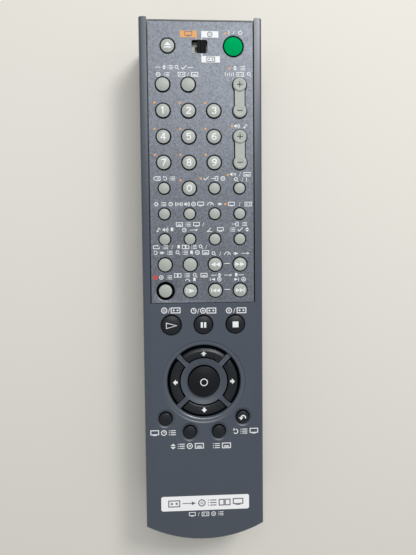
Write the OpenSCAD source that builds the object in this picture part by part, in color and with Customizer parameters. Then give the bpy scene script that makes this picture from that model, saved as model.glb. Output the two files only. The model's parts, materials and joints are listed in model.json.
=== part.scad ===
// A long hand-held remote control, lying on its back: +Z out of the key face, +Y towards
// the end that the signal leaves from, origin on the table under the middle of the case.
// Places along the case are distances from the signal end, measured down the key face.

/* [Case] */
// Length of the case, from the signal end to the tip of the curved end
body_l = 231.1; // [228:0.1:250]
// Width of the case
body_w = 53.1; // [52.6:0.1:60]
// Height of the key face above the table
body_h = 27.8; // [25.2:0.1:32]
// Height of the joint between the two halves of the case
joint_z = 12.5; // [11:0.1:14]
// Radius of the curved end, seen from above
end_r = 56.5; // [48:0.5:80]
// Radius of the edge between the key face and the sides
face_edge_r = 1.4; // [0.8:0.1:2]
// Radius of the edge between the sides and the table side
table_edge_r = 5; // [4:0.1:6]
// Thickness of the side walls
side_wall = 2; // [1.6:0.1:2.2]
// Thickness of the floor on the table side
floor_t = 2; // [1.8:0.1:2.4]
// Thickness of the key face
deck_t = 2.4; // [2:0.1:2.8]
// How far the table side rises towards the signal end
end_rise = 4; // [1:0.1:4.5]
// Length of that rising part
rise_l = 85; // [60:1:95]

/* [Key panel] */
// Width of the plate that carries the small keys
panel_w = 45.3; // [45:0.1:46.6]
// Thickness of the plate
panel_t = 2; // [1.6:0.1:2.3]
// Distance from the signal end to the plate's far edge
panel_end = 122.9; // [122:0.1:126]
// How far the plate lies below the key face
panel_drop = 0.3; // [0.1:0.05:0.5]
// Groove beside the plate
panel_groove = 0.5; // [0.3:0.05:0.6]
// Width of the ledge under the plate's long edges
ledge_w = 2.5; // [1.5:0.1:2.7]
// Thickness of the ledge
ledge_t = 1.6; // [1:0.1:1.9]
// Depth of the signal window, seen from above
window_t = 1.6; // [1.5:0.1:2]

/* [Key layout] */
// Distance between the four columns of keys
col_pitch = 11; // [10.6:0.1:11.2]
// Distance between the rows of keys
row_pitch = 11.1; // [10.9:0.05:11.2]
// Distance from the signal end to the eject and power keys
top_row_at = 12; // [11.6:0.1:14]
// Distance from the signal end to the select keys
first_row_at = 28.4; // [28:0.1:29.8]
// Sideways place of the eject and power keys
top_key_x = 14.2; // [13:0.1:15]
// Sideways place of the play and stop keys
transport_x = 14.2; // [13:0.1:15.5]
// Distance from the signal end to the play, pause and stop keys
transport_at = 132.7; // [132.4:0.1:136]
// Distance from the signal end to the middle of the navigation pad
pad_at = 158.4; // [158:0.1:162]

/* [Keys] */
// Diameter of the number, select, eject and search keys
number_d = 5.8; // [5.2:0.1:6.2]
// Diameter of the small function keys
small_d = 4.7; // [4.4:0.1:5.6]
// Diameter of the power key
power_d = 8.1; // [7:0.1:9]
// Diameter of the play key
play_d = 8.4; // [7:0.1:9]
// Diameter of the pause and stop keys
transport_d = 7.9; // [7:0.1:9]
// Diameter of the keys around the navigation pad
menu_d = 5.5; // [5:0.1:6]
// Gap between a key and its hole
key_gap = 0.4; // [0.3:0.05:0.45]
// How far the small keys stand above the key face
panel_rise = 0.6; // [0.2:0.1:2.5]
// How far the eject and power keys stand above the key face
top_rise = 0.3; // [0.2:0.1:2.5]
// How far the transport keys stand above the key face
transport_rise = 1.2; // [0.6:0.1:2]
// How far the keys around the pad stand above the key face
menu_rise = 1; // [0.6:0.1:2]
// How far the pad's round centre key stands above the key face
centre_rise = 0.8; // [0.4:0.1:1.6]
// Height of the crown on a key
crown_h = 0.25; // [0.1:0.05:0.4]
// Radius of a key's edge
key_edge_r = 0.5; // [0.3:0.05:0.7]
// How far a key can be pressed
key_travel = 0.8; // [0.5:0.05:1]
// Width of the flange that keeps a key under its hole
flange_lap = 0.45; // [0.3:0.05:0.5]
// Thickness of that flange
flange_t = 0.9; // [0.6:0.1:1.1]
// Radius of a key's stem
stem_r = 1.5; // [1.2:0.1:1.7]
// Width of the bevel round a key's hole
lip = 0.25; // [0.1:0.05:0.3]

/* [Rockers] */
// Distance between the middles of a rocker's two ends
rocker_l = 11.1; // [10.5:0.1:11.6]
// Diameter of a rocker's ends
rocker_d = 5.9; // [5.4:0.1:6.2]
// How far a rocker's ends stand above the key face
rocker_rise = 0.8; // [0.6:0.1:2.5]
// Width of a rocker's neck
neck_w = 4.3; // [3.6:0.1:4.8]
// How far the neck lies below the ends
neck_drop = 0.5; // [0.2:0.1:0.9]
// Sideways place of the rockers
rocker_x = 16.8; // [16.2:0.1:17]

/* [Mode switch] */
// Distance from the signal end to the middle of the slot
switch_at = 12.2; // [12:0.1:14]
// Width of the switch's slot
slot_w = 6.8; // [6.4:0.1:8]
// Height of the slot along the case
slot_l = 5.6; // [5:0.1:6.2]
// Width of the sliding knob
knob_w = 3.8; // [3:0.1:4.6]
// Gap beside the knob
knob_gap = 0.15; // [0.1:0.05:0.25]
// Space left at each end of the knob's travel
knob_end = 0.6; // [0.5:0.05:0.8]
// Radius of the slot's corners
slot_r = 0.8; // [0.4:0.1:0.8]
// How far the knob stands above the plate
knob_rise = 0.3; // [0.1:0.1:0.8]
// Number of ridges on the knob
knob_ridges = 3; // [2:1:4]

/* [Navigation pad] */
// Radius of the round centre key
centre_r = 6.9; // [6.4:0.05:7.2]
// Inner radius of the four arc keys
arc_in_r = 10.8; // [10.6:0.05:11.2]
// Outer radius of the four arc keys
arc_out_r = 16; // [15.8:0.05:16.4]
// How far the arc keys stand above the key face
arc_rise = 0.3; // [0.1:0.1:0.6]
// Radius of an arc key's crest
arc_crest_r = 14; // [14:0.05:15.2]
// Width of the ribs between the arc keys
rib_w = 2.2; // [1.8:0.1:2.8]
// Outer radius of the dish
dish_r = 17.6; // [17.4:0.1:18.5]
// Depth of the dish
dish_depth = 1.4; // [0.6:0.1:1.4]
// Radius of the shallow step round the dish
step_r = 18.7; // [18.6:0.1:19.2]
// Depth of that step
step_depth = 0.3; // [0.1:0.05:0.3]
// Sideways and lengthwise place of the outer keys, from the middle of the pad
outer_key_x = 17.3; // [17:0.1:18]
outer_key_y = 16.3; // [16:0.1:17.5]
// Sideways and lengthwise place of the inner keys, from the middle of the pad
inner_key_x = 6.5; // [6:0.1:7.2]
inner_key_y = 22.6; // [22.4:0.1:23.6]

/* [Batteries] */
// Diameter of a cell
cell_d = 14.5; // [13.5:0.1:14.8]
// Length of a cell, with its nub
cell_l = 50.5; // [49:0.1:51]
// Gap round a cell
cell_gap = 0.2; // [0.1:0.05:0.3]
// Length of a contact spring
spring_l = 5.4; // [5:0.1:6]
// Radius of a spring's wire
wire_r = 0.3; // [0.2:0.05:0.35]
// Turns of a spring
spring_turns = 3; // [2:1:3]
// Radius of a spring at the plate
spring_base_r = 4; // [3.5:0.1:4.6]
// Radius of a spring at the cell
spring_tip_r = 2.5; // [2:0.1:3]
// Thickness of a contact plate
contact_t = 0.4; // [0.3:0.05:0.6]
// Wall of the battery bay
bay_wall = 1.2; // [1:0.1:1.4]
// Thickness of the bay's roof
roof_t = 0.7; // [0.6:0.05:0.9]
// Distance from the tip of the curved end to the bay
bay_at = 6; // [5.8:0.1:7]
// Thickness of the battery cover
cover_t = 1.9; // [1.6:0.1:2.1]
// Width of the battery cover, without its tongues
cover_w = 37.2; // [36:0.1:38]
// Width of a tongue along the cover's side
tongue_w = 1; // [0.6:0.1:1.2]
// Thickness of a tongue
tongue_t = 0.8; // [0.5:0.1:0.9]
// Gap between the cover and its slot
cover_gap = 0.2; // [0.15:0.05:0.25]

/* [Inside] */
// Thickness of the circuit board
board_t = 1.2; // [1:0.1:1.6]
// Thickness of the rubber mat
mat_t = 1; // [0.8:0.1:1.2]
// Height of a collar on the mat
collar_h = 0.7; // [0.4:0.1:0.9]
// Wall of a collar
collar_wall = 0.7; // [0.5:0.1:0.8]
// Gap between a stem and its collar
mat_gap = 0.3; // [0.2:0.05:0.35]
// Diameter of a signal diode
led_d = 5; // [3:0.1:5.4]
// Distance between the two signal diodes
led_pitch = 16; // [12:0.5:24]
// Radius of a case screw
screw_r = 1.1; // [0.9:0.05:1.2]
// Length of a screw below its head
screw_l = 10; // [8:0.5:11]
// Radius of a screw's head
head_r = 2.1; // [1.7:0.1:2.3]
// Distance from the side of the case to the screws
screw_edge = 4.4; // [4.2:0.1:5.2]

/* [Hidden] */
$fn = 64;
EPS = 0.01;
SIDE_COLOR = "#4c5763";
PANEL_COLOR = "#8b9099";
GREY_KEY = "#aaaea7";
DARK_KEY = "#1d2328";
GREEN_KEY = "#00ab65";
PALE = "#c9cbc6";
METAL = "#b9bcc0";

// Gap between a flange and the face above it, and the least gap under a pressed key
SEAT_GAP = 0.2;
PRESS_GAP = 0.1;

// Heights, worked down from the key face
face_z = body_h;
deck_z = face_z - deck_t;
panel_z = face_z - panel_drop;
panel_low_z = panel_z - panel_t;
lowest_seat_z = min(deck_z, panel_low_z) - SEAT_GAP;
collar_z = lowest_seat_z - flange_t - key_travel - PRESS_GAP;
mat_z = collar_z - collar_h;
board_z = mat_z - mat_t;
board_low_z = board_z - board_t;
stem_z = board_z + key_travel + PRESS_GAP;

// Heights, worked up from the table
COVER_RECESS = 0.1;
cover_z = COVER_RECESS + cover_t;
cell_z = cover_z + cell_gap + cell_d / 2;
bay_z = cell_z + cell_d / 2 + cell_gap;
roof_z = bay_z + roof_t;

function from_top(at) = body_l / 2 - at;
end_y = from_top(body_l - end_r);
pad_y = from_top(pad_at);
function column(i) = (i - 1.5) * col_pitch;
function row(j) = from_top(first_row_at + j * row_pitch);
RECORD_ROW_EXTRA = 0.4;
record_y = row(8) - RECORD_ROW_EXTRA;

// Sizes of the keys: [radius, rise above the key face, height of the face it hangs under]
NUMBER = [number_d / 2, panel_rise, panel_low_z];
SMALL = [small_d / 2, panel_rise, panel_low_z];
POWER = [power_d / 2, top_rise, panel_low_z];
EJECT = [number_d / 2, top_rise, panel_low_z];
PLAY = [play_d / 2, transport_rise, deck_z];
TRANSPORT = [transport_d / 2, transport_rise, deck_z];
MENU = [menu_d / 2, menu_rise, deck_z];
CENTRE = [centre_r, centre_rise, deck_z];

// Keys in the panel: [name, x, y, size, colour]
PANEL_KEYS = [
  ["eject_key", -top_key_x, from_top(top_row_at), EJECT, GREY_KEY],
  ["power_key", top_key_x, from_top(top_row_at), POWER, GREEN_KEY],
  ["select_a_key", column(0), row(0), NUMBER, GREY_KEY],
  ["select_b_key", column(1), row(0), NUMBER, GREY_KEY],
  for (i = [0:8])
    [str("digit_", i + 1, "_key"), column(i % 3), row(1 + floor(i / 3)), NUMBER, GREY_KEY],
  ["clear_key", column(0), row(4), SMALL, GREY_KEY],
  ["digit_0_key", column(1), row(4), NUMBER, GREY_KEY],
  ["enter_key", column(2), row(4), SMALL, GREY_KEY],
  ["mute_key", column(3), row(4), SMALL, GREY_KEY],
  ["setup_key", column(0), row(5), SMALL, GREY_KEY],
  ["surround_key", column(1), row(5), SMALL, GREY_KEY],
  ["speed_key", column(2), row(5), SMALL, GREY_KEY],
  ["input_a_key", column(3), row(5), SMALL, GREY_KEY],
  ["audio_key", column(0), row(6), SMALL, GREY_KEY],
  ["subtitle_key", column(1), row(6), SMALL, GREY_KEY],
  ["angle_key", column(2), row(6), SMALL, GREY_KEY],
  ["input_b_key", column(3), row(6), SMALL, GREY_KEY],
  ["repeat_key", column(0), row(7), NUMBER, GREY_KEY],
  ["bookmark_key", column(1), row(7), NUMBER, GREY_KEY],
  ["scan_back_key", column(2), row(7), NUMBER, GREY_KEY],
  ["scan_forward_key", column(3), row(7), NUMBER, GREY_KEY],
  ["record_key", column(0), record_y, NUMBER, GREY_KEY],
  ["step_key", column(1), record_y, NUMBER, GREY_KEY],
  ["previous_key", column(2), record_y, NUMBER, GREY_KEY],
  ["next_key", column(3), record_y, NUMBER, GREY_KEY]
];

// Keys in the key face itself
DECK_KEYS = [
  ["play_key", -transport_x, from_top(transport_at), PLAY, DARK_KEY],
  ["pause_key", 0, from_top(transport_at), TRANSPORT, DARK_KEY],
  ["stop_key", transport_x, from_top(transport_at), TRANSPORT, DARK_KEY],
  ["centre_key", 0, pad_y, CENTRE, DARK_KEY],
  ["display_key", -outer_key_x, pad_y - outer_key_y, MENU, DARK_KEY],
  ["top_menu_key", -inner_key_x, pad_y - inner_key_y, MENU, DARK_KEY],
  ["menu_key", inner_key_x, pad_y - inner_key_y, MENU, DARK_KEY],
  ["return_key", outer_key_x, pad_y - outer_key_y, MENU, DARK_KEY]
];
MENU_KEYS = [for (k = DECK_KEYS) if (k[3] == MENU) k];

// Arc keys of the pad: [name, turn from the up key]
ARC_KEYS = [["up_key", 0], ["left_key", 90], ["down_key", 180], ["right_key", 270]];
arc_stem_r = (arc_in_r + arc_out_r) / 2;

// Rockers: [name, y of the middle]
ROCKERS = [
  ["channel_rocker", (row(0) + row(1)) / 2],
  ["volume_rocker", (row(2) + row(3)) / 2]
];

// ---------------------------------------------------------------- outlines

// Points of an arc; skip = 1 leaves both its ends out
function arc(cx, cy, r, from, to, steps, skip = 0) =
  [for (i = [skip:steps - skip])
    let (a = from + (to - from) * i / steps)
      [cx + r * cos(a), cy + r * sin(a)]];

// The case seen from above, drawn in by inset all round
function case_outline(inset) =
  let (w = body_w / 2 - inset,
       top = from_top(inset),
       big = end_r - inset,
       turn = acos(w / big))
    concat(
      [[w, top]],
      arc(0, end_y, big, -turn, turn - 180, 16),
      [[-w, top]]
    );

module case_prism(inset, low, high) {
  translate([0, 0, low])
    linear_extrude(high - low)
      polygon(case_outline(inset));
}

// Box between two corners
module box(low, high) {
  translate(low)
    cube(high - low);
}

module disc(x, y, low, high, r) {
  translate([x, y, low])
    cylinder(h = high - low, r = r);
}

// ---------------------------------------------------------------- case

rise_y = from_top(rise_l);
rise_angle = atan(end_rise / rise_l);
screw_x = body_w / 2 - screw_edge;
// Screws stand between rows of keys, clear of every flange
SCREW_AT = [20.5, 124.9];
SCREWS = [for (side = [-1, 1], at = SCREW_AT) [side * screw_x, from_top(at)]];
BOSS_WALL = 1.5;
HEAD_WALL = 1.1;
HEAD_SEAT = 4;
HEAD_H = 1.5;
HEAD_FIT = 0.2;
SCREW_FIT = 0.05;
SCREW_END = 1;
boss_r = screw_r + BOSS_WALL;
low_boss_r = head_r + HEAD_WALL;
head_z = joint_z - HEAD_SEAT;

// Half of a block's section: a wall at half, its lower and upper edges rounded
function edge_points(half, low, high, low_r, high_r) =
  concat(
    low_r > 0 ? arc(half - low_r, low + low_r, low_r, -90, 0, 5) : [[half, low]],
    high_r > 0 ? arc(half - high_r, high - high_r, high_r, 0, 90, 4) : [[half, high]]
  );

// A section drawn out along the case, both ways from its middle
module long_block(low, high, low_r, high_r) {
  half = edge_points(body_w / 2, low, high, low_r, high_r);
  translate([0, body_l, 0])
    rotate([90, 0, 0])
      linear_extrude(2 * body_l)
        polygon(concat(half, [for (i = [len(half) - 1:-1:0]) [-half[i][0], half[i][1]]]));
}

// What the curved end and the signal end leave of a block
module between_ends(low, high, low_r, high_r) {
  union() {
    translate([0, end_y, 0])
      rotate_extrude()
        polygon(concat([[0, high], [0, low]], edge_points(end_r, low, high, low_r, high_r)));
    box([-body_w, end_y, low - 1], [body_w, from_top(0), high + 1]);
  }
}

module upper_block() {
  intersection() {
    long_block(joint_z, face_z, 0, face_edge_r);
    between_ends(joint_z, face_z, 0, face_edge_r);
  }
}

// Everything past the line where the table side starts to rise
module rising_side() {
  translate([0, rise_y, 0])
    rotate([rise_angle / 2, 0, 0])
      box([-body_w, 0, -body_h], [body_w, 2 * body_l, 3 * body_h]);
}

module lower_block() {
  tall = joint_z + body_h;
  intersection() {
    union() {
      difference() {
        long_block(0, tall, table_edge_r, 0);
        rising_side();
      }
      intersection() {
        translate([0, rise_y, 0])
          rotate([rise_angle, 0, 0])
            long_block(0, tall, table_edge_r, 0);
        rising_side();
      }
    }
    between_ends(0, tall, table_edge_r, 0);
    box([-body_w, -body_l, -1], [body_w, body_l, joint_z]);
  }
}

// Hollow of the lower half: its floor follows the table side, and thickens a little with it
END_THICKER = 0.5;

module lower_hollow() {
  high_z = floor_t + end_rise + END_THICKER;
  intersection() {
    case_prism(side_wall, 0, joint_z + 1);
    translate([-body_w, 0, 0])
      rotate([90, 0, 90])
        linear_extrude(2 * body_w)
          polygon([
            [-body_l, floor_t], [rise_y, floor_t],
            [from_top(0), high_z], [body_l, high_z],
            [body_l, joint_z + 1], [-body_l, joint_z + 1]
          ]);
  }
}

// A key's hole with its bevel, cut down from z
module key_hole(x, y, r, z) {
  disc(x, y, z - 2 * deck_t, z + deck_t, r);
  translate([x, y, z - lip])
    cylinder(h = 2 * lip, r1 = r, r2 = r + 2 * lip);
}

// Wedge of the pad's up key, set in from the ribs' middle lines
module wedge(inset, low, high) {
  tip = inset * sqrt(2);
  translate([0, 0, low])
    linear_extrude(high - low)
      polygon([[0, tip], [2 * step_r, tip + 2 * step_r], [-2 * step_r, tip + 2 * step_r]]);
}

module ring(low, high, in_r, out_r) {
  difference() {
    disc(0, 0, low, high, out_r);
    disc(0, 0, low - 1, high + 1, in_r);
  }
}

// Shape of the pad sunk into the key face: dish wall, ribs that rise inwards to the web
// round the centre key, and the web that slopes down to that key
WEB_DEPTH = 1.6;
WEB_EDGE_DEPTH = 0.6;
WEB_FLAT = 0.2;

module dish() {
  rotate_extrude()
    polygon([
      [0, face_z - WEB_DEPTH], [centre_r + key_gap + WEB_FLAT, face_z - WEB_DEPTH],
      [arc_in_r - key_gap, face_z - WEB_EDGE_DEPTH], [arc_out_r + key_gap, face_z - dish_depth],
      [dish_r, face_z], [dish_r, face_z + 1], [0, face_z + 1]
    ]);
}

recess_half = panel_w / 2 + panel_groove;
opening_half = recess_half - ledge_w;
BOTTOM_GROOVE = 0.2;
END_LEDGE = 1.3;
LEDGE_PAST = 2;
// The bar between the signal window's gap and the opening: its two edges, from the end
WINDOW_BAR = [3, 5];
WINDOW_LAP = 0.2;
WINDOW_SHOULDER = 0.8;
WINDOW_FIT = 0.1;
window_half = recess_half - WINDOW_SHOULDER;
// Width of the shallow step round a menu key
MENU_STEP_W = 1.1;

module upper_case() {
  color(SIDE_COLOR)
    difference() {
      union() {
        difference() {
          upper_block();
          case_prism(side_wall, joint_z - 1, deck_z);
        }
        // Ledge under the panel
        intersection() {
          case_prism(side_wall / 2, panel_low_z - ledge_t, panel_low_z);
          box([-body_w, from_top(panel_end + LEDGE_PAST), 0],
              [body_w, from_top(WINDOW_BAR[0]), body_h]);
        }
        for (s = SCREWS)
          disc(s[0], s[1], joint_z, panel_low_z, boss_r);
      }
      // Seat of the panel and the opening through it
      box([-recess_half, from_top(panel_end + BOTTOM_GROOVE), panel_low_z],
          [recess_half, body_l, body_h + 1]);
      box([-opening_half, from_top(panel_end - END_LEDGE), 0],
          [opening_half, from_top(WINDOW_BAR[1]), body_h]);
      // Gap of the signal window
      box([-window_half - WINDOW_FIT, from_top(WINDOW_BAR[0] - WINDOW_LAP), 0],
          [window_half + WINDOW_FIT, body_l, body_h + 1]);
      for (s = SCREWS)
        disc(s[0], s[1], joint_z - 1, head_z + screw_l + SCREW_END, screw_r + SCREW_FIT);
      // Holes of the keys in the key face
      for (k = DECK_KEYS)
        if (k[0] != "centre_key")
          key_hole(k[1], k[2], k[3][0] + key_gap, face_z - (k[3] == MENU ? step_depth : 0));
      // Navigation pad
      translate([0, pad_y, 0]) {
        disc(0, 0, face_z - step_depth, face_z + 1, step_r);
        dish();
        disc(0, 0, deck_z - 1, face_z, centre_r + key_gap);
        for (k = ARC_KEYS)
          rotate(k[1])
            intersection() {
              ring(deck_z - 1, face_z, arc_in_r - key_gap, arc_out_r + key_gap);
              wedge(rib_w / 2, deck_z - 2, face_z + 1);
            }
      }
      for (k = MENU_KEYS)
        disc(k[1], k[2], face_z - step_depth, face_z + 1, k[3][0] + key_gap + MENU_STEP_W);
    }
}

// The bay: cells side by side along the case, springs at opposite ends
bay_y = -body_l / 2 + bay_at;
END_PLAY = 0.1;
bay_l = cell_l + spring_l + 2 * contact_t + 2 * END_PLAY;
cell_x = cell_d / 2 + cell_gap;
bay_half = cell_x + cell_d / 2 + cell_gap;
bay_end_y = bay_y + bay_l;
COVER_LAP = 1;
cover_end_y = bay_end_y + bay_wall + COVER_LAP;
slot_half = cover_w / 2 + cover_gap;
slot_z = cover_z + cover_gap;
SHELF_T = 1.2;
SHELF_SIDE = 2.4;
SHELF_END = 2;
shelf_z = slot_z + SHELF_T;
// Posts under the circuit board
POST_X = 12;
POST_FIRST = 36;
POST_SECOND = 102;
POST_R = 2;
POSTS = [for (x = [-POST_X, POST_X], at = [POST_FIRST, POST_SECOND]) [x, from_top(at)]];

// Height at which what stands on the floor starts, half way into it
function root_z(y) = floor_t / 2 + max(0, y - rise_y) * end_rise / rise_l;

module lower_case() {
  color(SIDE_COLOR)
    difference() {
      union() {
        difference() {
          lower_block();
          lower_hollow();
        }
        // Shelf over the cover's slot, inside the walls
        intersection() {
          case_prism(side_wall / 2, floor_t / 2, shelf_z);
          box([-slot_half - tongue_w - SHELF_SIDE, -body_l, 0],
              [slot_half + tongue_w + SHELF_SIDE, cover_end_y + SHELF_END, shelf_z]);
        }
        box([-bay_half - bay_wall, bay_y - bay_wall, floor_t],
            [bay_half + bay_wall, bay_end_y + bay_wall, roof_z]);
        for (s = SCREWS)
          intersection() {
            case_prism(side_wall / 2, 0, joint_z);
            disc(s[0], s[1], root_z(s[1]), joint_z, low_boss_r);
          }
        for (p = POSTS)
          disc(p[0], p[1], root_z(p[1]), board_low_z, POST_R);
      }
      // Slot of the cover, with a groove for its tongues
      box([-slot_half, -body_l, -1], [slot_half, cover_end_y + cover_gap, slot_z]);
      box([-slot_half - tongue_w, -body_l, cover_z - tongue_t - cover_gap],
          [slot_half + tongue_w, cover_end_y + cover_gap, slot_z]);
      // Bay
      box([-bay_half, bay_y, 0], [bay_half, bay_end_y, bay_z]);
      for (s = SCREWS) {
        disc(s[0], s[1], -1, joint_z + 1, screw_r + HEAD_FIT);
        disc(s[0], s[1], -1, head_z, head_r + HEAD_FIT);
      }
    }
}

GRIP_COUNT = 6;
GRIP_PITCH = 1.5;
GRIP_W = 0.7;
GRIP_DEPTH = 0.5;
GRIP_L = 14;
GRIP_AT = 8;
ARROW_AT = 2;
ARROW_HALF = 3;
ARROW_L = 4;

module battery_cover() {
  grip_y = cover_end_y - GRIP_AT;
  color(SIDE_COLOR)
    difference() {
      intersection() {
        lower_block();
        union() {
          box([-cover_w / 2, -body_l, COVER_RECESS], [cover_w / 2, cover_end_y, cover_z]);
          box([-cover_w / 2 - tongue_w, -body_l, cover_z - tongue_t],
              [cover_w / 2 + tongue_w, cover_end_y, cover_z]);
        }
      }
      // Ridges for the thumb, and an arrow that says which way it slides
      for (i = [0:GRIP_COUNT - 1])
        box([-GRIP_L / 2, grip_y - i * GRIP_PITCH - GRIP_W, -1],
            [GRIP_L / 2, grip_y - i * GRIP_PITCH, COVER_RECESS + GRIP_DEPTH]);
      translate([0, grip_y - GRIP_COUNT * GRIP_PITCH - ARROW_AT, -1])
        linear_extrude(1 + COVER_RECESS + GRIP_DEPTH)
          polygon([[-ARROW_HALF, 0], [ARROW_HALF, 0], [0, -ARROW_L]]);
    }
}

// ---------------------------------------------------------------- panel and window

SLOT_SHIFT = 0.4;
slot_mid_x = -SLOT_SHIFT;
switch_y = from_top(switch_at);
RECORD_DISH_R = 4.9;
RECORD_DISH_DEPTH = 0.35;
WELL_DEPTH = 1.3;
WELL_GAP = 1;
WELL_SLOPE = 0.2;

module rocker_outline(gap) {
  for (side = [-1, 1])
    translate([0, side * rocker_l / 2])
      circle(r = rocker_d / 2 + gap);
  translate([-neck_w / 2 - gap, -rocker_l / 2])
    square([neck_w + 2 * gap, rocker_l]);
}

module key_panel() {
  color(PANEL_COLOR)
    difference() {
      box([-panel_w / 2, from_top(panel_end), panel_low_z],
          [panel_w / 2, from_top(window_t + WINDOW_FIT), panel_z]);
      for (k = PANEL_KEYS)
        key_hole(k[1], k[2], k[3][0] + key_gap, panel_z);
      for (k = ROCKERS)
        translate([rocker_x, k[1], panel_low_z - 1])
          linear_extrude(panel_t + 2)
            rocker_outline(key_gap);
      translate([slot_mid_x, switch_y, panel_low_z - 1])
        linear_extrude(panel_t + 2)
          offset(r = slot_r)
            square([slot_w - 2 * slot_r, slot_l - 2 * slot_r], center = true);
      // Deep well and shallow dish round the record key
      translate([column(0), record_y, 0])
        rotate_extrude()
          polygon([
            [0, panel_z - WELL_DEPTH], [number_d / 2 + WELL_GAP, panel_z - WELL_DEPTH],
            [number_d / 2 + WELL_GAP + WELL_SLOPE, panel_z - RECORD_DISH_DEPTH],
            [RECORD_DISH_R, panel_z], [RECORD_DISH_R, panel_z + 1], [0, panel_z + 1]
          ]);
    }
}

WINDOW_SLOPE_H = 1.8;
WINDOW_CORNER = 1;
WINDOW_FLANGE = 0.8;
WINDOW_FLANGE_W = 1;
WINDOW_SEAT_GAP = 0.3;

module ir_window() {
  flange_low = joint_z + WINDOW_SEAT_GAP;
  flange_high = panel_low_z - ledge_t - WINDOW_SEAT_GAP;
  behind = from_top(side_wall + WINDOW_FLANGE);
  color(PALE)
    union() {
      intersection() {
        translate([-window_half, 0, 0])
          rotate([90, 0, 90])
            linear_extrude(2 * window_half)
              polygon([
                [from_top(0), joint_z], [from_top(0), panel_z - WINDOW_SLOPE_H],
                [from_top(WINDOW_CORNER), panel_z], [from_top(window_t), panel_z],
                [from_top(window_t), joint_z]
              ]);
        // Ends cut at a slant, seen from above
        translate([0, 0, joint_z])
          linear_extrude(body_h)
            polygon([
              [-window_half, from_top(2 * window_t)], [window_half, from_top(2 * window_t)],
              [window_half, from_top(WINDOW_CORNER)], [window_half - WINDOW_CORNER, from_top(0)],
              [WINDOW_CORNER - window_half, from_top(0)], [-window_half, from_top(WINDOW_CORNER)]
            ]);
      }
      // Flange behind the end wall
      box([-window_half - WINDOW_FLANGE_W, behind, flange_low],
          [window_half + WINDOW_FLANGE_W, from_top(side_wall), flange_high]);
      box([-window_half, behind, flange_low],
          [window_half, from_top(window_t - EPS), flange_high]);
    }
}

// ---------------------------------------------------------------- keys

// Half profile of a round key, from its crown down to its stem
function key_profile(size) =
  let (r = size[0],
       top = face_z + size[1],
       seat = size[2] - SEAT_GAP,
       flat_r = r - key_edge_r,
       shoulder = top - crown_h - key_edge_r,
       lap_r = r + key_gap + flange_lap)
    concat(
      [[0, top], [flat_r / 2, top - crown_h / 4]],
      arc(flat_r, shoulder, key_edge_r, 90, 0, 3),
      [[r, seat], [lap_r, seat], [lap_r, seat - flange_t], [stem_r, seat - flange_t],
       [stem_r, stem_z], [0, stem_z]]
    );

DOT_H = 0.2;
DOT_R = 0.5;

module round_key(k) {
  color(k[4])
    translate([k[1], k[2], 0])
      union() {
        rotate_extrude()
          polygon(key_profile(k[3]));
        // The play key has a small nub to feel for
        if (k[0] == "play_key")
          translate([0, k[3][0] / 2, face_z + k[3][1] - crown_h])
            cylinder(h = crown_h + DOT_H, r = DOT_R);
      }
}

arc_top_z = face_z + arc_rise;
// An arc key's section drops from its crest to its inner edge, and more to its rim
ARC_INNER_DROP = 0.5;
ARC_RIM_DROP = 1.5;
ARC_ROUND = 0.4;
ARC_CREST_DROP = 0.1;

module arc_key(k) {
  seat = deck_z - SEAT_GAP;
  inner_z = arc_top_z - ARC_INNER_DROP;
  color(DARK_KEY)
    translate([0, pad_y, 0])
      rotate(k[1])
        union() {
          intersection() {
            rotate_extrude()
              polygon([
                [arc_in_r, seat - flange_t], [arc_in_r, inner_z - ARC_ROUND],
                [arc_in_r + ARC_ROUND, inner_z], [arc_crest_r - ARC_ROUND, arc_top_z],
                [arc_crest_r, arc_top_z - ARC_CREST_DROP], [arc_out_r, arc_top_z - ARC_RIM_DROP],
                [arc_out_r, seat - flange_t]
              ]);
            wedge(rib_w / 2 + key_gap, stem_z, face_z + deck_t);
          }
          intersection() {
            ring(seat - flange_t, seat, arc_in_r - key_gap - flange_lap,
                 arc_out_r + key_gap + flange_lap);
            wedge(rib_w / 2 - flange_lap / 2, stem_z, face_z);
          }
          disc(0, arc_stem_r, stem_z, seat, stem_r);
        }
}

// A rocker tips about a line across its middle, 2 mm under the key face
ROCKER_TILT = 6;
ROCKER_FLANGE_L = 4.2;
ROCKER_FLANGE_W = 1;
ROCKER_DEPTH = 1.2;
ROCKER_SEAT_GAP = 0.35;
rocker_low_z = panel_low_z - ROCKER_DEPTH;
rocker_stem_z = board_z + 2 * PRESS_GAP + (rocker_l / 2 + stem_r) * sin(ROCKER_TILT);

module rocker(k) {
  r = rocker_d / 2;
  top = face_z + rocker_rise;
  color(GREY_KEY)
    translate([rocker_x, k[1], 0])
      union() {
        for (side = [-1, 1])
          translate([0, side * rocker_l / 2, 0]) {
            rotate_extrude()
              polygon(concat(
                [[0, top - crown_h], [r - 1.6 * key_edge_r, top]],
                arc(r - key_edge_r, top - key_edge_r, key_edge_r, 90, 0, 3),
                [[r, rocker_low_z], [0, rocker_low_z]]
              ));
            disc(0, 0, rocker_stem_z, rocker_low_z + EPS, stem_r);
          }
        box([-neck_w / 2, -rocker_l / 2, rocker_low_z],
            [neck_w / 2, rocker_l / 2, top - neck_drop]);
        box([-neck_w / 2 - key_gap - ROCKER_FLANGE_W, -ROCKER_FLANGE_L / 2, rocker_low_z],
            [neck_w / 2 + key_gap + ROCKER_FLANGE_W, ROCKER_FLANGE_L / 2,
             panel_low_z - ROCKER_SEAT_GAP]);
      }
}

// ---------------------------------------------------------------- mode switch

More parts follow.
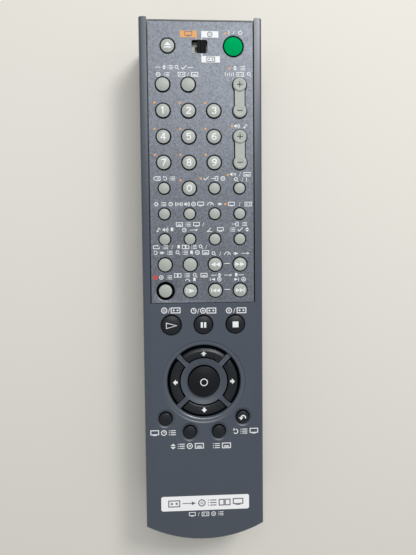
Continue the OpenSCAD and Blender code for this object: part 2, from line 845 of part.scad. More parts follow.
knob_right = slot_mid_x + slot_w / 2 - knob_end;
knob_travel = slot_w - knob_w - 2 * knob_end;
knob_half_l = slot_l / 2 - knob_gap;
knob_top_z = panel_z + knob_rise;
HOUSING_GAP = 0.6;
KNOB_FLOAT = 0.2;
RIDGE_DEPTH = 0.7;
HOUSING_W = 13;
HOUSING_L = 7;
housing_z = panel_low_z - HOUSING_GAP;
knob_low_z = housing_z + KNOB_FLOAT;
TAB_W = 1.6;
TAB_L = 1.6;
TAB_FIT = 0.15;
CHANNEL_FLOOR = 0.8;

module mode_switch() {
  knob_mid = knob_right - knob_w / 2;
  ridge = knob_w / (2 * knob_ridges - 1);
  color(DARK_KEY)
    union() {
      difference() {
        box([knob_right - knob_w, switch_y - knob_half_l, knob_low_z],
            [knob_right, switch_y + knob_half_l, knob_top_z]);
        for (i = [1:knob_ridges - 1])
          box([knob_right - knob_w + (2 * i - 1) * ridge, switch_y - slot_l,
               knob_top_z - RIDGE_DEPTH],
              [knob_right - knob_w + 2 * i * ridge, switch_y + slot_l, knob_top_z + 1]);
      }
      box([knob_mid - TAB_W / 2, switch_y - TAB_L / 2, board_z + CHANNEL_FLOOR + TAB_FIT],
          [knob_mid + TAB_W / 2, switch_y + TAB_L / 2, knob_low_z + EPS]);
    }
}

module switch_housing() {
  knob_mid = knob_right - knob_w / 2;
  color(PALE)
    difference() {
      box([slot_mid_x - HOUSING_W / 2, switch_y - HOUSING_L / 2, board_z],
          [slot_mid_x + HOUSING_W / 2, switch_y + HOUSING_L / 2, housing_z]);
      box([knob_mid - knob_travel - TAB_W / 2 - TAB_FIT, switch_y - TAB_L / 2 - TAB_FIT,
           board_z + CHANNEL_FLOOR],
          [knob_mid + TAB_W / 2 + TAB_FIT, switch_y + TAB_L / 2 + TAB_FIT, housing_z + 1]);
    }
}

// ---------------------------------------------------------------- inside

BOARD_EDGE = 0.7;
BOARD_AT = [8.6, 33];
MAT_AT = [8, 30.4];
board_half = body_w / 2 - side_wall - BOARD_EDGE;
MAT_EDGE = 0.4;
BOSS_GAP = 0.4;
HOUSING_FIT = 0.3;
ROCKER_STEM_GAP = 0.7;
mat_half = outer_key_x + stem_r + mat_gap + collar_wall + MAT_EDGE;
rocker_hole_r = stem_r + ROCKER_STEM_GAP;
round_keys = concat(PANEL_KEYS, DECK_KEYS);

module boss_notches() {
  for (s = SCREWS)
    disc(s[0], s[1], 0, body_h, boss_r + BOSS_GAP);
}

// Draws its child under every stem of the sprung keys
module at_stems() {
  for (k = round_keys)
    translate([k[1], k[2], 0])
      children();
  for (k = ARC_KEYS)
    translate([0, pad_y, 0])
      rotate(k[1])
        translate([0, arc_stem_r, 0])
          children();
}

module rubber_mat() {
  color("#5b6066")
    difference() {
      union() {
        box([-mat_half, pad_y - MAT_AT[1], board_z],
            [mat_half, from_top(MAT_AT[0]), mat_z]);
        at_stems()
          disc(0, 0, board_z, collar_z, stem_r + mat_gap + collar_wall);
      }
      at_stems()
        disc(0, 0, board_z - 1, collar_z + 1, stem_r + mat_gap);
      for (k = ROCKERS, side = [-1, 1])
        disc(rocker_x, k[1] + side * rocker_l / 2, board_z - 1, mat_z + 1, rocker_hole_r);
      box([slot_mid_x - HOUSING_W / 2 - HOUSING_FIT, switch_y - HOUSING_L / 2 - HOUSING_FIT,
           board_z - 1],
          [slot_mid_x + HOUSING_W / 2 + HOUSING_FIT, switch_y + HOUSING_L / 2 + HOUSING_FIT,
           collar_z + 1]);
      boss_notches();
    }
}

// Parts under the board: [x, distance from the signal end, width, length, height]
CHIPS = [[0, 72, 14, 14, 1.6], [-13, 60, 7, 3.4, 1.8], [12, 84, 5, 6, 1.6], [9, 54, 3, 1.6, 0.8],
         [-9, 84, 3, 1.6, 0.8], [0, 48, 3, 1.6, 0.8]];
CAPACITOR = [-14, 74, 3.1, 6];

module circuit_board() {
  color("#2f6b4a")
    difference() {
      box([-board_half, pad_y - BOARD_AT[1], board_low_z],
          [board_half, from_top(BOARD_AT[0]), board_z]);
      boss_notches();
    }
  color("#26292c")
    for (c = CHIPS)
      box([c[0] - c[2] / 2, from_top(c[1]) - c[3] / 2, board_low_z - c[4]],
          [c[0] + c[2] / 2, from_top(c[1]) + c[3] / 2, board_low_z]);
  color("#2b3a55")
    disc(CAPACITOR[0], from_top(CAPACITOR[1]), board_low_z - CAPACITOR[3], board_low_z,
         CAPACITOR[2]);
}

LED_BASE = 1.2;
LED_BODY_L = 4.2;
LED_FRONT = 0.3;
LEAD = 0.5;
LEAD_GAP = 1.27;

module ir_leds() {
  front = side_wall + 0.8 + LED_FRONT;
  r = led_d / 2;
  led_z = board_low_z - LEAD / 2;
  color("#6f5a86")
    for (side = [-1, 1])
      translate([side * led_pitch / 2, 0, led_z]) {
        translate([0, from_top(front + r), 0])
          rotate([90, 0, 0])
            union() {
              sphere(r = r);
              cylinder(h = LED_BODY_L - r, r = r);
              translate([0, 0, LED_BODY_L - r - LED_BASE])
                cylinder(h = LED_BASE, r = r + 0.4);
            }
        for (x = [-LEAD_GAP, LEAD_GAP])
          box([x - LEAD / 2, from_top(BOARD_AT[0] + 3), -LEAD / 2],
              [x + LEAD / 2, from_top(front + LED_BODY_L) + EPS, LEAD / 2]);
      }
}

NUB_L = 1.2;
NUB_R = 2.75;

module cell() {
  rotate([-90, 0, 0])
    union() {
      cylinder(h = cell_l - NUB_L, r = cell_d / 2);
      translate([0, 0, cell_l - NUB_L - EPS])
        cylinder(h = NUB_L + EPS, r = NUB_R);
    }
}

cell_y = bay_y + contact_t + spring_l + END_PLAY;

// Draws its child as on the left cell, and turned end for end on the right one
module both_cells() {
  translate([-cell_x, 0, 0])
    children();
  translate([cell_x, bay_y + bay_end_y, 0])
    mirror([0, 1, 0])
      children();
}

module batteries() {
  color("#b8863a")
    both_cells()
      translate([0, cell_y, cell_z])
        cell();
}

// A contact spring: a straight end, turns that draw in towards the cell, a straight end
CURL_RINGS = 8;
WIRE_SIDES = 6;
coil_steps = spring_turns * CURL_RINGS;
coil_l = spring_l - 4 * wire_r;

function coil_point(i) =
  let (t = i / coil_steps,
       a = 360 * i / CURL_RINGS,
       r = spring_base_r + (spring_tip_r - spring_base_r) * t)
    [r * cos(a), 2 * wire_r + coil_l * t, r * sin(a)];

spring_points = concat(
  [[spring_base_r, 0, 0]],
  [for (i = [0:coil_steps]) coil_point(i)],
  [[spring_tip_r, spring_l, 0]]
);
last_point = len(spring_points) - 1;

function unit(v) = v / norm(v);

function spring_angle(i) = 360 * min(max(i - 1, 0), coil_steps) / CURL_RINGS;

function spring_ring(i) =
  let (along = unit(spring_points[min(i + 1, last_point)] - spring_points[max(i - 1, 0)]),
       out = [cos(spring_angle(i)), 0, sin(spring_angle(i))],
       side = unit(cross(along, out)),
       up = cross(side, along))
    [for (k = [0:WIRE_SIDES - 1])
      let (b = 360 * k / WIRE_SIDES)
        spring_points[i] + wire_r * (cos(b) * up + sin(b) * side)];

// Least gap between turns, measured on points at least half a turn apart
spring_gap = min([for (i = [0:last_point], j = [0:last_point])
  if (j - i >= CURL_RINGS / 2) norm(spring_points[i] - spring_points[j])]) - 2 * wire_r;
echo(spring_least_gap = spring_gap);

module spring() {
  polyhedron(
    points = [for (i = [0:last_point]) each spring_ring(i)],
    faces = concat(
      [[for (k = [0:WIRE_SIDES - 1]) k]],
      [[for (k = [WIRE_SIDES - 1:-1:0]) last_point * WIRE_SIDES + k]],
      [for (i = [0:last_point - 1], k = [0:WIRE_SIDES - 1])
        let (a = i * WIRE_SIDES + k, b = i * WIRE_SIDES + (k + 1) % WIRE_SIDES)
          each [[a, a + WIRE_SIDES, b], [b, a + WIRE_SIDES, b + WIRE_SIDES]]]
    ),
    convexity = 6
  );
}

PLATE_HALF = 5.2;

module battery_contacts() {
  color(METAL)
    both_cells()
      translate([0, 0, cell_z]) {
        for (y = [bay_y, bay_end_y - contact_t])
          translate([-PLATE_HALF, y, -PLATE_HALF])
            cube([2 * PLATE_HALF, contact_t, 2 * PLATE_HALF]);
        translate([0, bay_y + contact_t, 0])
          spring();
      }
}

module case_screws() {
  color(METAL)
    for (s = SCREWS)
      translate([s[0], s[1], 0])
        difference() {
          union() {
            disc(0, 0, head_z, head_z + screw_l, screw_r);
            disc(0, 0, head_z - HEAD_H, head_z, head_r);
          }
          for (turn = [0, 90])
            rotate(turn)
              box([-1.3, -0.3, head_z - HEAD_H - 1], [1.3, 0.3, head_z - HEAD_H + 0.8]);
        }
}

upper_case();
key_panel();
lower_case();
battery_cover();
ir_window();
circuit_board();
rubber_mat();
ir_leds();
switch_housing();
batteries();
battery_contacts();
case_screws();
mode_switch();
for (k = round_keys)
  round_key(k);
for (k = ARC_KEYS)
  arc_key(k);
for (k = ROCKERS)
  rocker(k);
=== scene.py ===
# %% [markdown]
# # A long remote control, dressed for its picture
# The frame holds every piece of the remote at its real place and size: a key face with a
# paler plate let into it, forty-odd keys, two rockers, a slide switch, and all that is
# inside. This script gives those pieces soft edges, moulded surfaces and printed marks.
# Lengths are written in millimetres and turned into metres at the last moment.

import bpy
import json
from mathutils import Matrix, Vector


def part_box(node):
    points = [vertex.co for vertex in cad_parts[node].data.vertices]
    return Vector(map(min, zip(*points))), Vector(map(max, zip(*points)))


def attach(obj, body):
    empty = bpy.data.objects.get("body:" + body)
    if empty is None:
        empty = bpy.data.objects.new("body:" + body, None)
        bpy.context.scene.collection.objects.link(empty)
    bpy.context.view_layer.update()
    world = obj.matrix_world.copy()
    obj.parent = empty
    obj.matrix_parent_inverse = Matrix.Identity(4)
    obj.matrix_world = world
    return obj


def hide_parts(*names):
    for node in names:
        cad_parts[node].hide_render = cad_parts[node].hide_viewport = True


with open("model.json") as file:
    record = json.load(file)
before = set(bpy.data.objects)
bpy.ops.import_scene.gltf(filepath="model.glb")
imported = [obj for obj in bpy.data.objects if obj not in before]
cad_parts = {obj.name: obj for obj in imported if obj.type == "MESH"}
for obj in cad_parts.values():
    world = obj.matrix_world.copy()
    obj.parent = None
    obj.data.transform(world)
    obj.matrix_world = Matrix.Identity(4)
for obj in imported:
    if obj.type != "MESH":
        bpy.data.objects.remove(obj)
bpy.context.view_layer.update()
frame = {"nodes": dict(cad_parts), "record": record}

# %% [markdown]
# ## Reading the frame
# Nothing here is placed by eye alone. The frame knows the box of each piece, so a cap or a
# mark finds its place from the box of the piece that carries it, and follows that piece
# if it is ever moved.

# %% Tools that every later cell uses
import json
import math

import bmesh
import bpy
from mathutils import Matrix, Vector

MM = 0.001
scene = bpy.context.scene
scene.view_settings.view_transform = "Standard"

SLOT_OF = {part["node"]: part["material_slot"] for part in frame["record"]["subparts"]}
BODY_OF = {
    node: body
    for body, members in frame["record"]["behaviour"]["bodies"].items()
    for node in members
}


def low_mm(node):
    """Lowest corner of a node, in millimetres."""
    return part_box(node)[0] / MM


def high_mm(node):
    """Highest corner of a node, in millimetres."""
    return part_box(node)[1] / MM


FACE_Z = high_mm("upper_case").z
PANEL_Z = high_mm("key_panel").z
PANEL_LOW_Z = low_mm("key_panel").z
print("key face at", round(FACE_Z, 2), "mm, plate at", round(PANEL_Z, 2), "mm")

# %% [markdown]
# ## The camera
# The picture is taken from close by, almost straight over the middle of the remote. A
# camera that near shows a lot of perspective, so its place matters more than its lens:
# both are fitted to the rows and columns of keys, and given from the middle of the pad.

# %% Camera
PAD = Vector((
    (low_mm("left_key").x + high_mm("right_key").x) / 2,
    (low_mm("down_key").y + high_mm("up_key").y) / 2,
))
CAMERA_ASIDE = -6.43
CAMERA_ALONG = 55.01
CAMERA_OVER = 184.04
CAMERA_PLACE = Vector((PAD.x + CAMERA_ASIDE, PAD.y + CAMERA_ALONG, FACE_Z + CAMERA_OVER))
CAMERA_TILT = -2.625
CAMERA_LEAN = -2.702
CAMERA_ROLL = -0.574
FOCAL_PIXELS = 418
FRAME_HEIGHT_PIXELS = 555
NEAREST_SEEN = 0.005

camera = bpy.data.objects.new("camera", bpy.data.cameras.new("camera"))
scene.collection.objects.link(camera)
camera.data.lens = camera.data.sensor_width * (FOCAL_PIXELS / FRAME_HEIGHT_PIXELS)
camera.data.clip_start = NEAREST_SEEN
camera.matrix_world = Matrix.Translation(CAMERA_PLACE * MM) @ (
    Matrix.Rotation(math.radians(CAMERA_LEAN), 4, "Y")
    @ Matrix.Rotation(math.radians(CAMERA_TILT), 4, "X")
    @ Matrix.Rotation(math.radians(CAMERA_ROLL), 4, "Z")
)
scene.camera = camera
print("lens:", round(camera.data.lens, 2), "mm")

# %% [markdown]
# ## Colours
# Colours are easiest to read off as they look on a screen, from 0 to 255, while a shader
# works in linear light. One function turns the first into the second. Two more start a
# finish and mix two colours in it, because every surface here needs both.


# %% Colours and mixes
def srgb(red, green, blue):
    """A colour as it looks on a screen, 0 to 255, turned into the shader's linear light."""
    channels = []
    for value in (red, green, blue):
        share = value / 255
        channels.append(share / 12.92 if share <= 0.04045 else ((share + 0.055) / 1.055) ** 2.4)
    return (*channels, 1.0)


# Sockets of a colour Mix node: the share of B, colours A and B, and the mixed colour
SHARE_IN = 0
A_IN = 6
B_IN = 7
MIXED_OUT = 2


def colour_mix(nodes, links, share, colour_a, colour_b):
    """A node that mixes two colours by the share that another node gives."""
    mix = nodes.new("ShaderNodeMix")
    mix.data_type = "RGBA"
    mix.inputs[A_IN].default_value = colour_a
    mix.inputs[B_IN].default_value = colour_b
    links.new(share, mix.inputs[SHARE_IN])
    return mix


def new_finish(name):
    """An empty finish, with its nodes, its links and its shader."""
    finish = bpy.data.materials.new(name)
    finish.use_nodes = True
    nodes, links = finish.node_tree.nodes, finish.node_tree.links
    return finish, nodes, links, nodes["Principled BSDF"]


print("mid grey in linear light:", round(srgb(128, 128, 128)[0], 3))

# %% [markdown]
# ## The floor
# The remote lies on a plain warm-white board. Its colour wanders very slightly, as paint
# does, through a slow noise that mixes two near whites.

# %% The floor
FLOOR_DIM = srgb(228, 224, 214)
FLOOR_PALE = srgb(234, 231, 223)
FLOOR_ROUGHNESS = 0.9
FLOOR_GLOSS = 0.1
FLOOR_NOISE = 9


def floor_finish():
    """Matt warm white with a very faint unevenness, as painted board has."""
    finish, nodes, links, shader = new_finish("floor_finish")
    shader.inputs["Roughness"].default_value = FLOOR_ROUGHNESS
    shader.inputs["Specular IOR Level"].default_value = FLOOR_GLOSS
    noise = nodes.new("ShaderNodeTexNoise")
    noise.inputs["Scale"].default_value = FLOOR_NOISE
    mix = colour_mix(nodes, links, noise.outputs["Fac"], FLOOR_DIM, FLOOR_PALE)
    links.new(mix.outputs[MIXED_OUT], shader.inputs["Base Color"])
    return finish


def add_mesh(name, bm, finish):
    """Turn a bmesh into an object of its own, in the scene."""
    mesh = bpy.data.meshes.new(name)
    bm.to_mesh(mesh)
    bm.free()
    thing = bpy.data.objects.new(name, mesh)
    scene.collection.objects.link(thing)
    mesh.materials.append(finish)
    return thing


FLOOR_HALF = 1.5
FLOOR_CELLS = 8
bm = bmesh.new()
bmesh.ops.create_grid(bm, x_segments=FLOOR_CELLS, y_segments=FLOOR_CELLS, size=FLOOR_HALF)
floor = add_mesh("floor", bm, floor_finish())
print("floor:", 2 * FLOOR_HALF, "m square")

# %% [markdown]
# ## The light
# Two square soft lamps stand past the signal end, one of them well to the right, because
# the plate is brightest at that end and the keys' shadows fall to the lower left. An even
# pale world fills those shadows in. Together they light a level surface at about the
# strength at which a colour renders as it is written.

# %% Lamps and world
LAMP_AIM = Vector((0, 0.03, 0))
# Each lamp: its place and its side in metres, and its power in watts
LAMPS = {
    "key_lamp": ((0.35, 0.56, 0.66), 0.24, 3.75),
    "far_lamp": ((0.02, 0.50, 0.80), 0.44, 2.5),
}
WORLD_COLOUR = (0.96, 0.98, 1.0, 1)
WORLD_STRENGTH = 0.40


def add_lamp(name, place, side, power):
    """A square soft lamp, turned towards the remote."""
    lamp = bpy.data.lights.new(name, "AREA")
    lamp.size = side
    lamp.energy = power
    thing = bpy.data.objects.new(name, lamp)
    thing.location = place
    thing.rotation_euler = (LAMP_AIM - Vector(place)).to_track_quat("-Z", "Y").to_euler()
    scene.collection.objects.link(thing)


for name, (place, side, power) in LAMPS.items():
    add_lamp(name, place, side, power)
world = bpy.data.worlds.new("world")
world.use_nodes = True
background = world.node_tree.nodes["Background"]
background.inputs["Color"].default_value = WORLD_COLOUR
background.inputs["Strength"].default_value = WORLD_STRENGTH
scene.world = world

# %% [markdown]
# ## Moulded plastic
# Nearly everything here is injection moulded. Its colour is even to within a few per cent,
# and what the eye reads as plastic is the gloss: a fine spark-eroded grain in the mould
# breaks up the reflection. So one function makes them all, from a slow noise that shades
# the colour, and a fine one that drives both the bump and the roughness.


# %% Moulded plastic
def shade(colour, factor):
    """The same colour, lighter or darker by a factor."""
    return tuple(min(1.0, channel * factor) for channel in colour[:3]) + (1.0,)


def noise_node(nodes, links, place, size):
    """A noise whose lumps are about size millimetres across."""
    noise = nodes.new("ShaderNodeTexNoise")
    noise.inputs["Scale"].default_value = 1 / (size * MM)
    links.new(place.outputs["Object"], noise.inputs["Vector"])
    return noise


WANDER_SIZE = 18
ROUGHNESS_SPREAD = 0.06
GRAIN_DEPTH = 0.03
COAT_ROUGHNESS = 0.15


def moulded(name, colour, roughness, grain=0.25, grain_size=0.18, wander=0.05, coat=0.0,
            gloss=0.5):
    """A moulded plastic with a grained, slightly uneven surface."""
    finish, nodes, links, shader = new_finish(name)
    place = nodes.new("ShaderNodeTexCoord")

    slow = noise_node(nodes, links, place, WANDER_SIZE)
    mix = colour_mix(
        nodes, links, slow.outputs["Fac"], shade(colour, 1 - wander), shade(colour, 1 + wander)
    )
    links.new(mix.outputs[MIXED_OUT], shader.inputs["Base Color"])

    fine = noise_node(nodes, links, place, grain_size)
    spread = nodes.new("ShaderNodeMapRange")
    spread.inputs["To Min"].default_value = roughness - ROUGHNESS_SPREAD
    spread.inputs["To Max"].default_value = roughness + ROUGHNESS_SPREAD
    links.new(fine.outputs["Fac"], spread.inputs["Value"])
    links.new(spread.outputs["Result"], shader.inputs["Roughness"])

    bump = nodes.new("ShaderNodeBump")
    bump.inputs["Strength"].default_value = grain
    bump.inputs["Distance"].default_value = GRAIN_DEPTH * MM
    links.new(fine.outputs["Fac"], bump.inputs["Height"])
    links.new(bump.outputs["Normal"], shader.inputs["Normal"])
    shader.inputs["Specular IOR Level"].default_value = gloss
    shader.inputs["Coat Weight"].default_value = coat
    shader.inputs["Coat Roughness"].default_value = COAT_ROUGHNESS
    return finish


print("one grained plastic, its colour wandering over", WANDER_SIZE, "mm")

# %% [markdown]
# ## Painted shade below a level
# Little light gets down into the gaps round the keys, so their walls and the walls of the
# plate's holes are painted dark: painted shade. That is what draws the dark ring round each
# key and darkens the arc keys' outer slopes. The finish therefore looks at its own height:
# below a level it turns dark and dull.
# below a level it turns into dull, dark raw plastic.


# %% Painted shade below a level
def parts_of(finish):
    """A finish's nodes, its links, its shader and its texture place, to build on."""
    nodes, links = finish.node_tree.nodes, finish.node_tree.links
    place = next(node for node in nodes if node.bl_idname == "ShaderNodeTexCoord")
    return nodes, links, nodes["Principled BSDF"], place


# Colours of the painted shade in the gaps round the keys: dark grey, near black, dark green
SHADE_DARK = srgb(10, 12, 14)
SHADE_BLACK = srgb(5, 8, 9)
SHADE_GREEN = srgb(4, 10, 8)


def painted_shade_below(finish, level, shaded=SHADE_DARK):
    """Below a level in millimetres the finish turns dark and dull: painted shade."""
    nodes, links, shader, place = parts_of(finish)
    colour = shader.inputs["Base Color"]
    gloss = shader.inputs["Specular IOR Level"]
    heights = nodes.new("ShaderNodeSeparateXYZ")
    links.new(place.outputs["Object"], heights.inputs["Vector"])
    above = nodes.new("ShaderNodeMath")
    above.operation = "GREATER_THAN"
    above.inputs[1].default_value = level * MM
    links.new(heights.outputs["Z"], above.inputs[0])
    mix = colour_mix(nodes, links, above.outputs["Value"], shaded, shaded)
    links.new(colour.links[0].from_socket, mix.inputs[B_IN])
    links.new(mix.outputs[MIXED_OUT], colour)
    shine = nodes.new("ShaderNodeMath")
    shine.operation = "MULTIPLY"
    shine.inputs[1].default_value = gloss.default_value
    links.new(above.outputs["Value"], shine.inputs[0])
    links.new(shine.outputs["Value"], gloss)


# Levels below which each finish is painted as shade
GREY_SHADE_Z = PANEL_Z + 0.3
EJECT_SHADE_Z = PANEL_Z
GREEN_SHADE_Z = PANEL_Z - 0.1
PLATE_SHADE_Z = PANEL_Z - 0.45
CENTRE_SHADE_Z = FACE_Z - 0.35
ARC_SHADE_Z = high_mm("up_key").z - 0.8
print("grey keys raw below", round(GREY_SHADE_Z, 2), "mm, plate below", round(PLATE_SHADE_Z, 2))

# %% [markdown]
# ## The plastics of this remote
# The case is a blue-grey with a soft sheen, the keys round the pad are near black, the
# keys in the plate a pale warm grey. The dish's rim is a copy of the case plastic, a little
# lighter and glossier, so that it shows as a bright line: painted light.

# %% The plastics
CASE_FINISH = moulded("case_finish", srgb(73, 80, 91), 0.35, grain=0.16, gloss=0.7)
# The rim: the case plastic a little lighter and glossier, a painted highlight
LIT_RIM_FINISH = moulded("lit_rim_finish", srgb(76, 84, 94), 0.28, grain=0.04, gloss=1.0)

KEY_GREY = srgb(176, 180, 174)
GREY_FINISH = moulded("grey_key_finish", KEY_GREY, 0.45, grain=0.12, wander=0.02, gloss=0.3)
EJECT_FINISH = moulded("eject_key_finish", KEY_GREY, 0.45, grain=0.12, wander=0.02, gloss=0.3)
GREEN_FINISH = moulded(
    "green_key_finish", srgb(0, 165, 92), 0.5, grain=0.1, wander=0.02, gloss=0.0
)

KEY_BLACK = srgb(18, 23, 28)
DARK_FINISH = moulded("dark_key_finish", KEY_BLACK, 0.40, grain=0.08)
ARC_FINISH = moulded("arc_key_finish", KEY_BLACK, 0.40, grain=0.08)
CENTRE_FINISH = moulded("centre_key_finish", srgb(15, 19, 23), 0.40, grain=0.08, gloss=0.3)
KNOB_FINISH = moulded("knob_finish", srgb(5, 6, 7), 0.4, grain=0.02, gloss=0.08)

PALE_FINISH = moulded("pale_finish", srgb(190, 192, 186), 0.4, grain=0.1, wander=0.02)
WINDOW_FINISH = moulded("window_finish", srgb(118, 119, 116), 0.5, grain=0.05, gloss=0.15)
MAT_FINISH = moulded("mat_finish", srgb(88, 92, 98), 0.7, grain=0.3)

# Painted shade on the key walls down in their gaps, and on the arc keys' outer slopes
painted_shade_below(GREY_FINISH, GREY_SHADE_Z)
painted_shade_below(EJECT_FINISH, EJECT_SHADE_Z)
painted_shade_below(GREEN_FINISH, GREEN_SHADE_Z, SHADE_GREEN)
painted_shade_below(CENTRE_FINISH, CENTRE_SHADE_Z, SHADE_BLACK)
painted_shade_below(ARC_FINISH, ARC_SHADE_Z, SHADE_BLACK)
print("plastics:", [m.name for m in bpy.data.materials if m.name.endswith("_finish")])

# %% [markdown]
# ## The plate's paint
# The plate between the side rails is sprayed with a metallic grey. Close to, it is a fine
# salt-and-pepper speckle, of flakes that catch the light and gaps that don't. Cells of a
# Voronoi texture, each with a brightness of its own, give just that.

# %% Speckled paint
FLAKE_SIZE = 0.46
FLAKE_DIM = 0.6
FLAKE_BRIGHT = 1.4
PAINT_METAL = 0.3


def speckled(name, colour):
    """A metallic spray paint, each flake with a brightness of its own."""
    finish = moulded(name, colour, 0.42, grain=0.3, grain_size=0.3, wander=0.02)
    nodes, links, shader, place = parts_of(finish)
    shader.inputs["Metallic"].default_value = PAINT_METAL
    base = shader.inputs["Base Color"].links[0].from_socket
    flakes = nodes.new("ShaderNodeTexVoronoi")
    flakes.inputs["Scale"].default_value = 1 / (FLAKE_SIZE * MM)
    links.new(place.outputs["Object"], flakes.inputs["Vector"])
    level = nodes.new("ShaderNodeMapRange")
    level.inputs["To Min"].default_value = FLAKE_DIM
    level.inputs["To Max"].default_value = FLAKE_BRIGHT
    links.new(flakes.outputs["Color"], level.inputs["Value"])
    brighten = nodes.new("ShaderNodeMix")
    brighten.data_type = "RGBA"
    brighten.blend_type = "MULTIPLY"
    brighten.inputs[SHARE_IN].default_value = 1.0
    links.new(base, brighten.inputs[A_IN])
    links.new(level.outputs["Result"], brighten.inputs[B_IN])
    links.new(brighten.outputs[MIXED_OUT], shader.inputs["Base Color"])
    return finish


PANEL_FINISH = speckled("panel_finish", srgb(112, 117, 126))
# Painted shade on the walls of the plate's key holes
painted_shade_below(PANEL_FINISH, PLATE_SHADE_Z)
print("paint:", PANEL_FINISH.name, "with flakes of", FLAKE_SIZE, "mm")

# %% [markdown]
# ## Metal, board and printing ink
# The contacts and screws are plated steel, bright but slightly brushed. The circuit board
# is green lacquer over copper tracks, which show as faint straight bands. The printed
# marks are a matt screen-printing ink, and the cells wear a glossy sleeve.


# %% Other finishes
def plated(name, colour, roughness):
    """Plated steel, slightly brushed."""
    finish = moulded(name, colour, roughness, grain=0.15, grain_size=0.4, wander=0.06)
    finish.node_tree.nodes["Principled BSDF"].inputs["Metallic"].default_value = 1.0
    return finish


LACQUER = srgb(40, 96, 66)
BAND_DIM = srgb(36, 88, 60)
BAND_BRIGHT = srgb(60, 122, 82)
BAND_SCALE = 120
BAND_WOBBLE = 2


def lacquered_board(name):
    """Green lacquer with the faint bands of the copper under it."""
    finish = moulded(name, LACQUER, 0.3, grain=0.1, coat=0.5)
    nodes, links, shader, place = parts_of(finish)
    bands = nodes.new("ShaderNodeTexWave")
    bands.inputs["Scale"].default_value = BAND_SCALE
    bands.inputs["Distortion"].default_value = BAND_WOBBLE
    links.new(place.outputs["Object"], bands.inputs["Vector"])
    mix = colour_mix(nodes, links, bands.outputs["Fac"], BAND_DIM, BAND_BRIGHT)
    links.new(mix.outputs[MIXED_OUT], shader.inputs["Base Color"])
    return finish


def ink(name, colour):
    """Matt screen-printing ink."""
    return moulded(name, colour, 0.6, grain=0.1, wander=0.02)


STEEL_FINISH = plated("steel_finish", srgb(196, 199, 203), 0.3)
BOARD_FINISH = lacquered_board("board_finish")
LED_FINISH = moulded("led_finish", srgb(70, 58, 96), 0.12, grain=0.02, coat=0.5)
CELL_FINISH = moulded("cell_finish", srgb(44, 47, 52), 0.25, grain=0.03, coat=0.4)
LABEL_FINISH = moulded("label_finish", srgb(255, 255, 255), 0.4, grain=0.02, wander=0.0)
WHITE_INK = moulded("white_ink", srgb(242, 244, 244), 0.6, grain=0.1, wander=0.01, gloss=0.2)
ORANGE_INK = ink("orange_ink", srgb(232, 164, 92))
RED_INK = ink("red_ink", srgb(214, 64, 58))
GREY_INK = ink("grey_ink", srgb(112, 117, 124))
# Dark grey for the rockers' sunk plus and minus: painted shade in the lines
ROCKER_SHADE_INK = ink("rocker_shade_ink", srgb(84, 89, 92))
print("inks:", [m.name for m in bpy.data.materials if m.name.endswith("_ink")])

# %% [markdown]
# ## Every piece gets its finish
# Most pieces take the finish of their material slot. A few keys have one of their own,
# because the painted shade on their walls starts at another level.

# %% Finishes by slot and by piece
FINISH_OF_SLOT = {
    "case_plastic": CASE_FINISH,
    "panel_plastic": PANEL_FINISH,
    "grey_key_plastic": GREY_FINISH,
    "green_key_plastic": GREEN_FINISH,
    "dark_key_plastic": DARK_FINISH,
    "window_plastic": WINDOW_FINISH,
    "pale_plastic": PALE_FINISH,
    "board": BOARD_FINISH,
    "mat_rubber": MAT_FINISH,
    "led_plastic": LED_FINISH,
    "cell_wrap": CELL_FINISH,
    "contact_steel": STEEL_FINISH,
    "screw_steel": STEEL_FINISH,
}
FINISH_OF_NODE = {
    "up_key": ARC_FINISH,
    "left_key": ARC_FINISH,
    "down_key": ARC_FINISH,
    "right_key": ARC_FINISH,
    "centre_key": CENTRE_FINISH,
    "mode_switch": KNOB_FINISH,
    "eject_key": EJECT_FINISH,
}


def finish_of(node):
    """The finish of a node: its own, or else that of its slot."""
    return FINISH_OF_NODE.get(node, FINISH_OF_SLOT[SLOT_OF[node]])


for name, node in frame["nodes"].items():
    node.data.materials.clear()
    node.data.materials.append(finish_of(name))
print("finishes by slot:", len(FINISH_OF_SLOT), "and by piece:", len(FINISH_OF_NODE))

# %% [markdown]
# ## Soft edges
# No moulded edge is sharp: the mould's corner always has a small radius, and it is that
# radius that catches the light. The shells' shapes are right as they come from the frame,
# so a copy of each is cleaned of the triangles' inner edges, and a bevel modifier then
# rounds what is left. First, the low step round the pad gets its slope in the key face, so
# that it shows as a soft line instead of a hard one.


# %% The sloped step
def wear(piece, node):
    """The piece stands for the node: it rides on the node's body, and the node is hidden."""
    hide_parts(node)
    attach(piece, BODY_OF[node])


STEP_DEPTH = 0.3
STEP_SLOPE = 0.6
STEP_REACH = 0.02
UPRIGHT = 0.1


def slope_step(bm):
    """Lean the low step round the pad inwards, as the mould draws it."""
    bm.normal_update()
    shifts = {}
    for vert in bm.verts:
        if abs(vert.co.z / MM - (FACE_Z - STEP_DEPTH)) > STEP_REACH:
            continue
        walls = []
        for edge in vert.link_edges:
            up = edge.other_vert(vert).co - vert.co
            if abs(up.z - STEP_DEPTH * MM) < STEP_REACH * MM and up.xy.length < STEP_REACH * MM:
                walls += [f.normal for f in edge.link_faces if abs(f.normal.z) < UPRIGHT]
        if walls:
            shifts[vert] = sum(walls, Vector()).normalized() * STEP_SLOPE * MM
    for vert, shift in shifts.items():
        vert.co += shift
    print("step points sloped:", len(shifts))


print("low step:", STEP_DEPTH, "mm deep, sloped over", STEP_SLOPE, "mm")

# %% [markdown]
# ## Softened copies
# A modifier keeps the bevel out of the mesh until the very end, so a radius can be changed
# in one place. The case's shells are rounded from a smaller angle on than the rest, which
# keeps their shading free of streaks where a curved wall meets a level face.

# %% Softened copies of the shells
MERGE = 0.001
FLAT_ANGLE = 0.3
BEVEL_SEGMENTS = 2
BEVEL_ANGLE = 28
CASE_BEVEL_ANGLE = 20


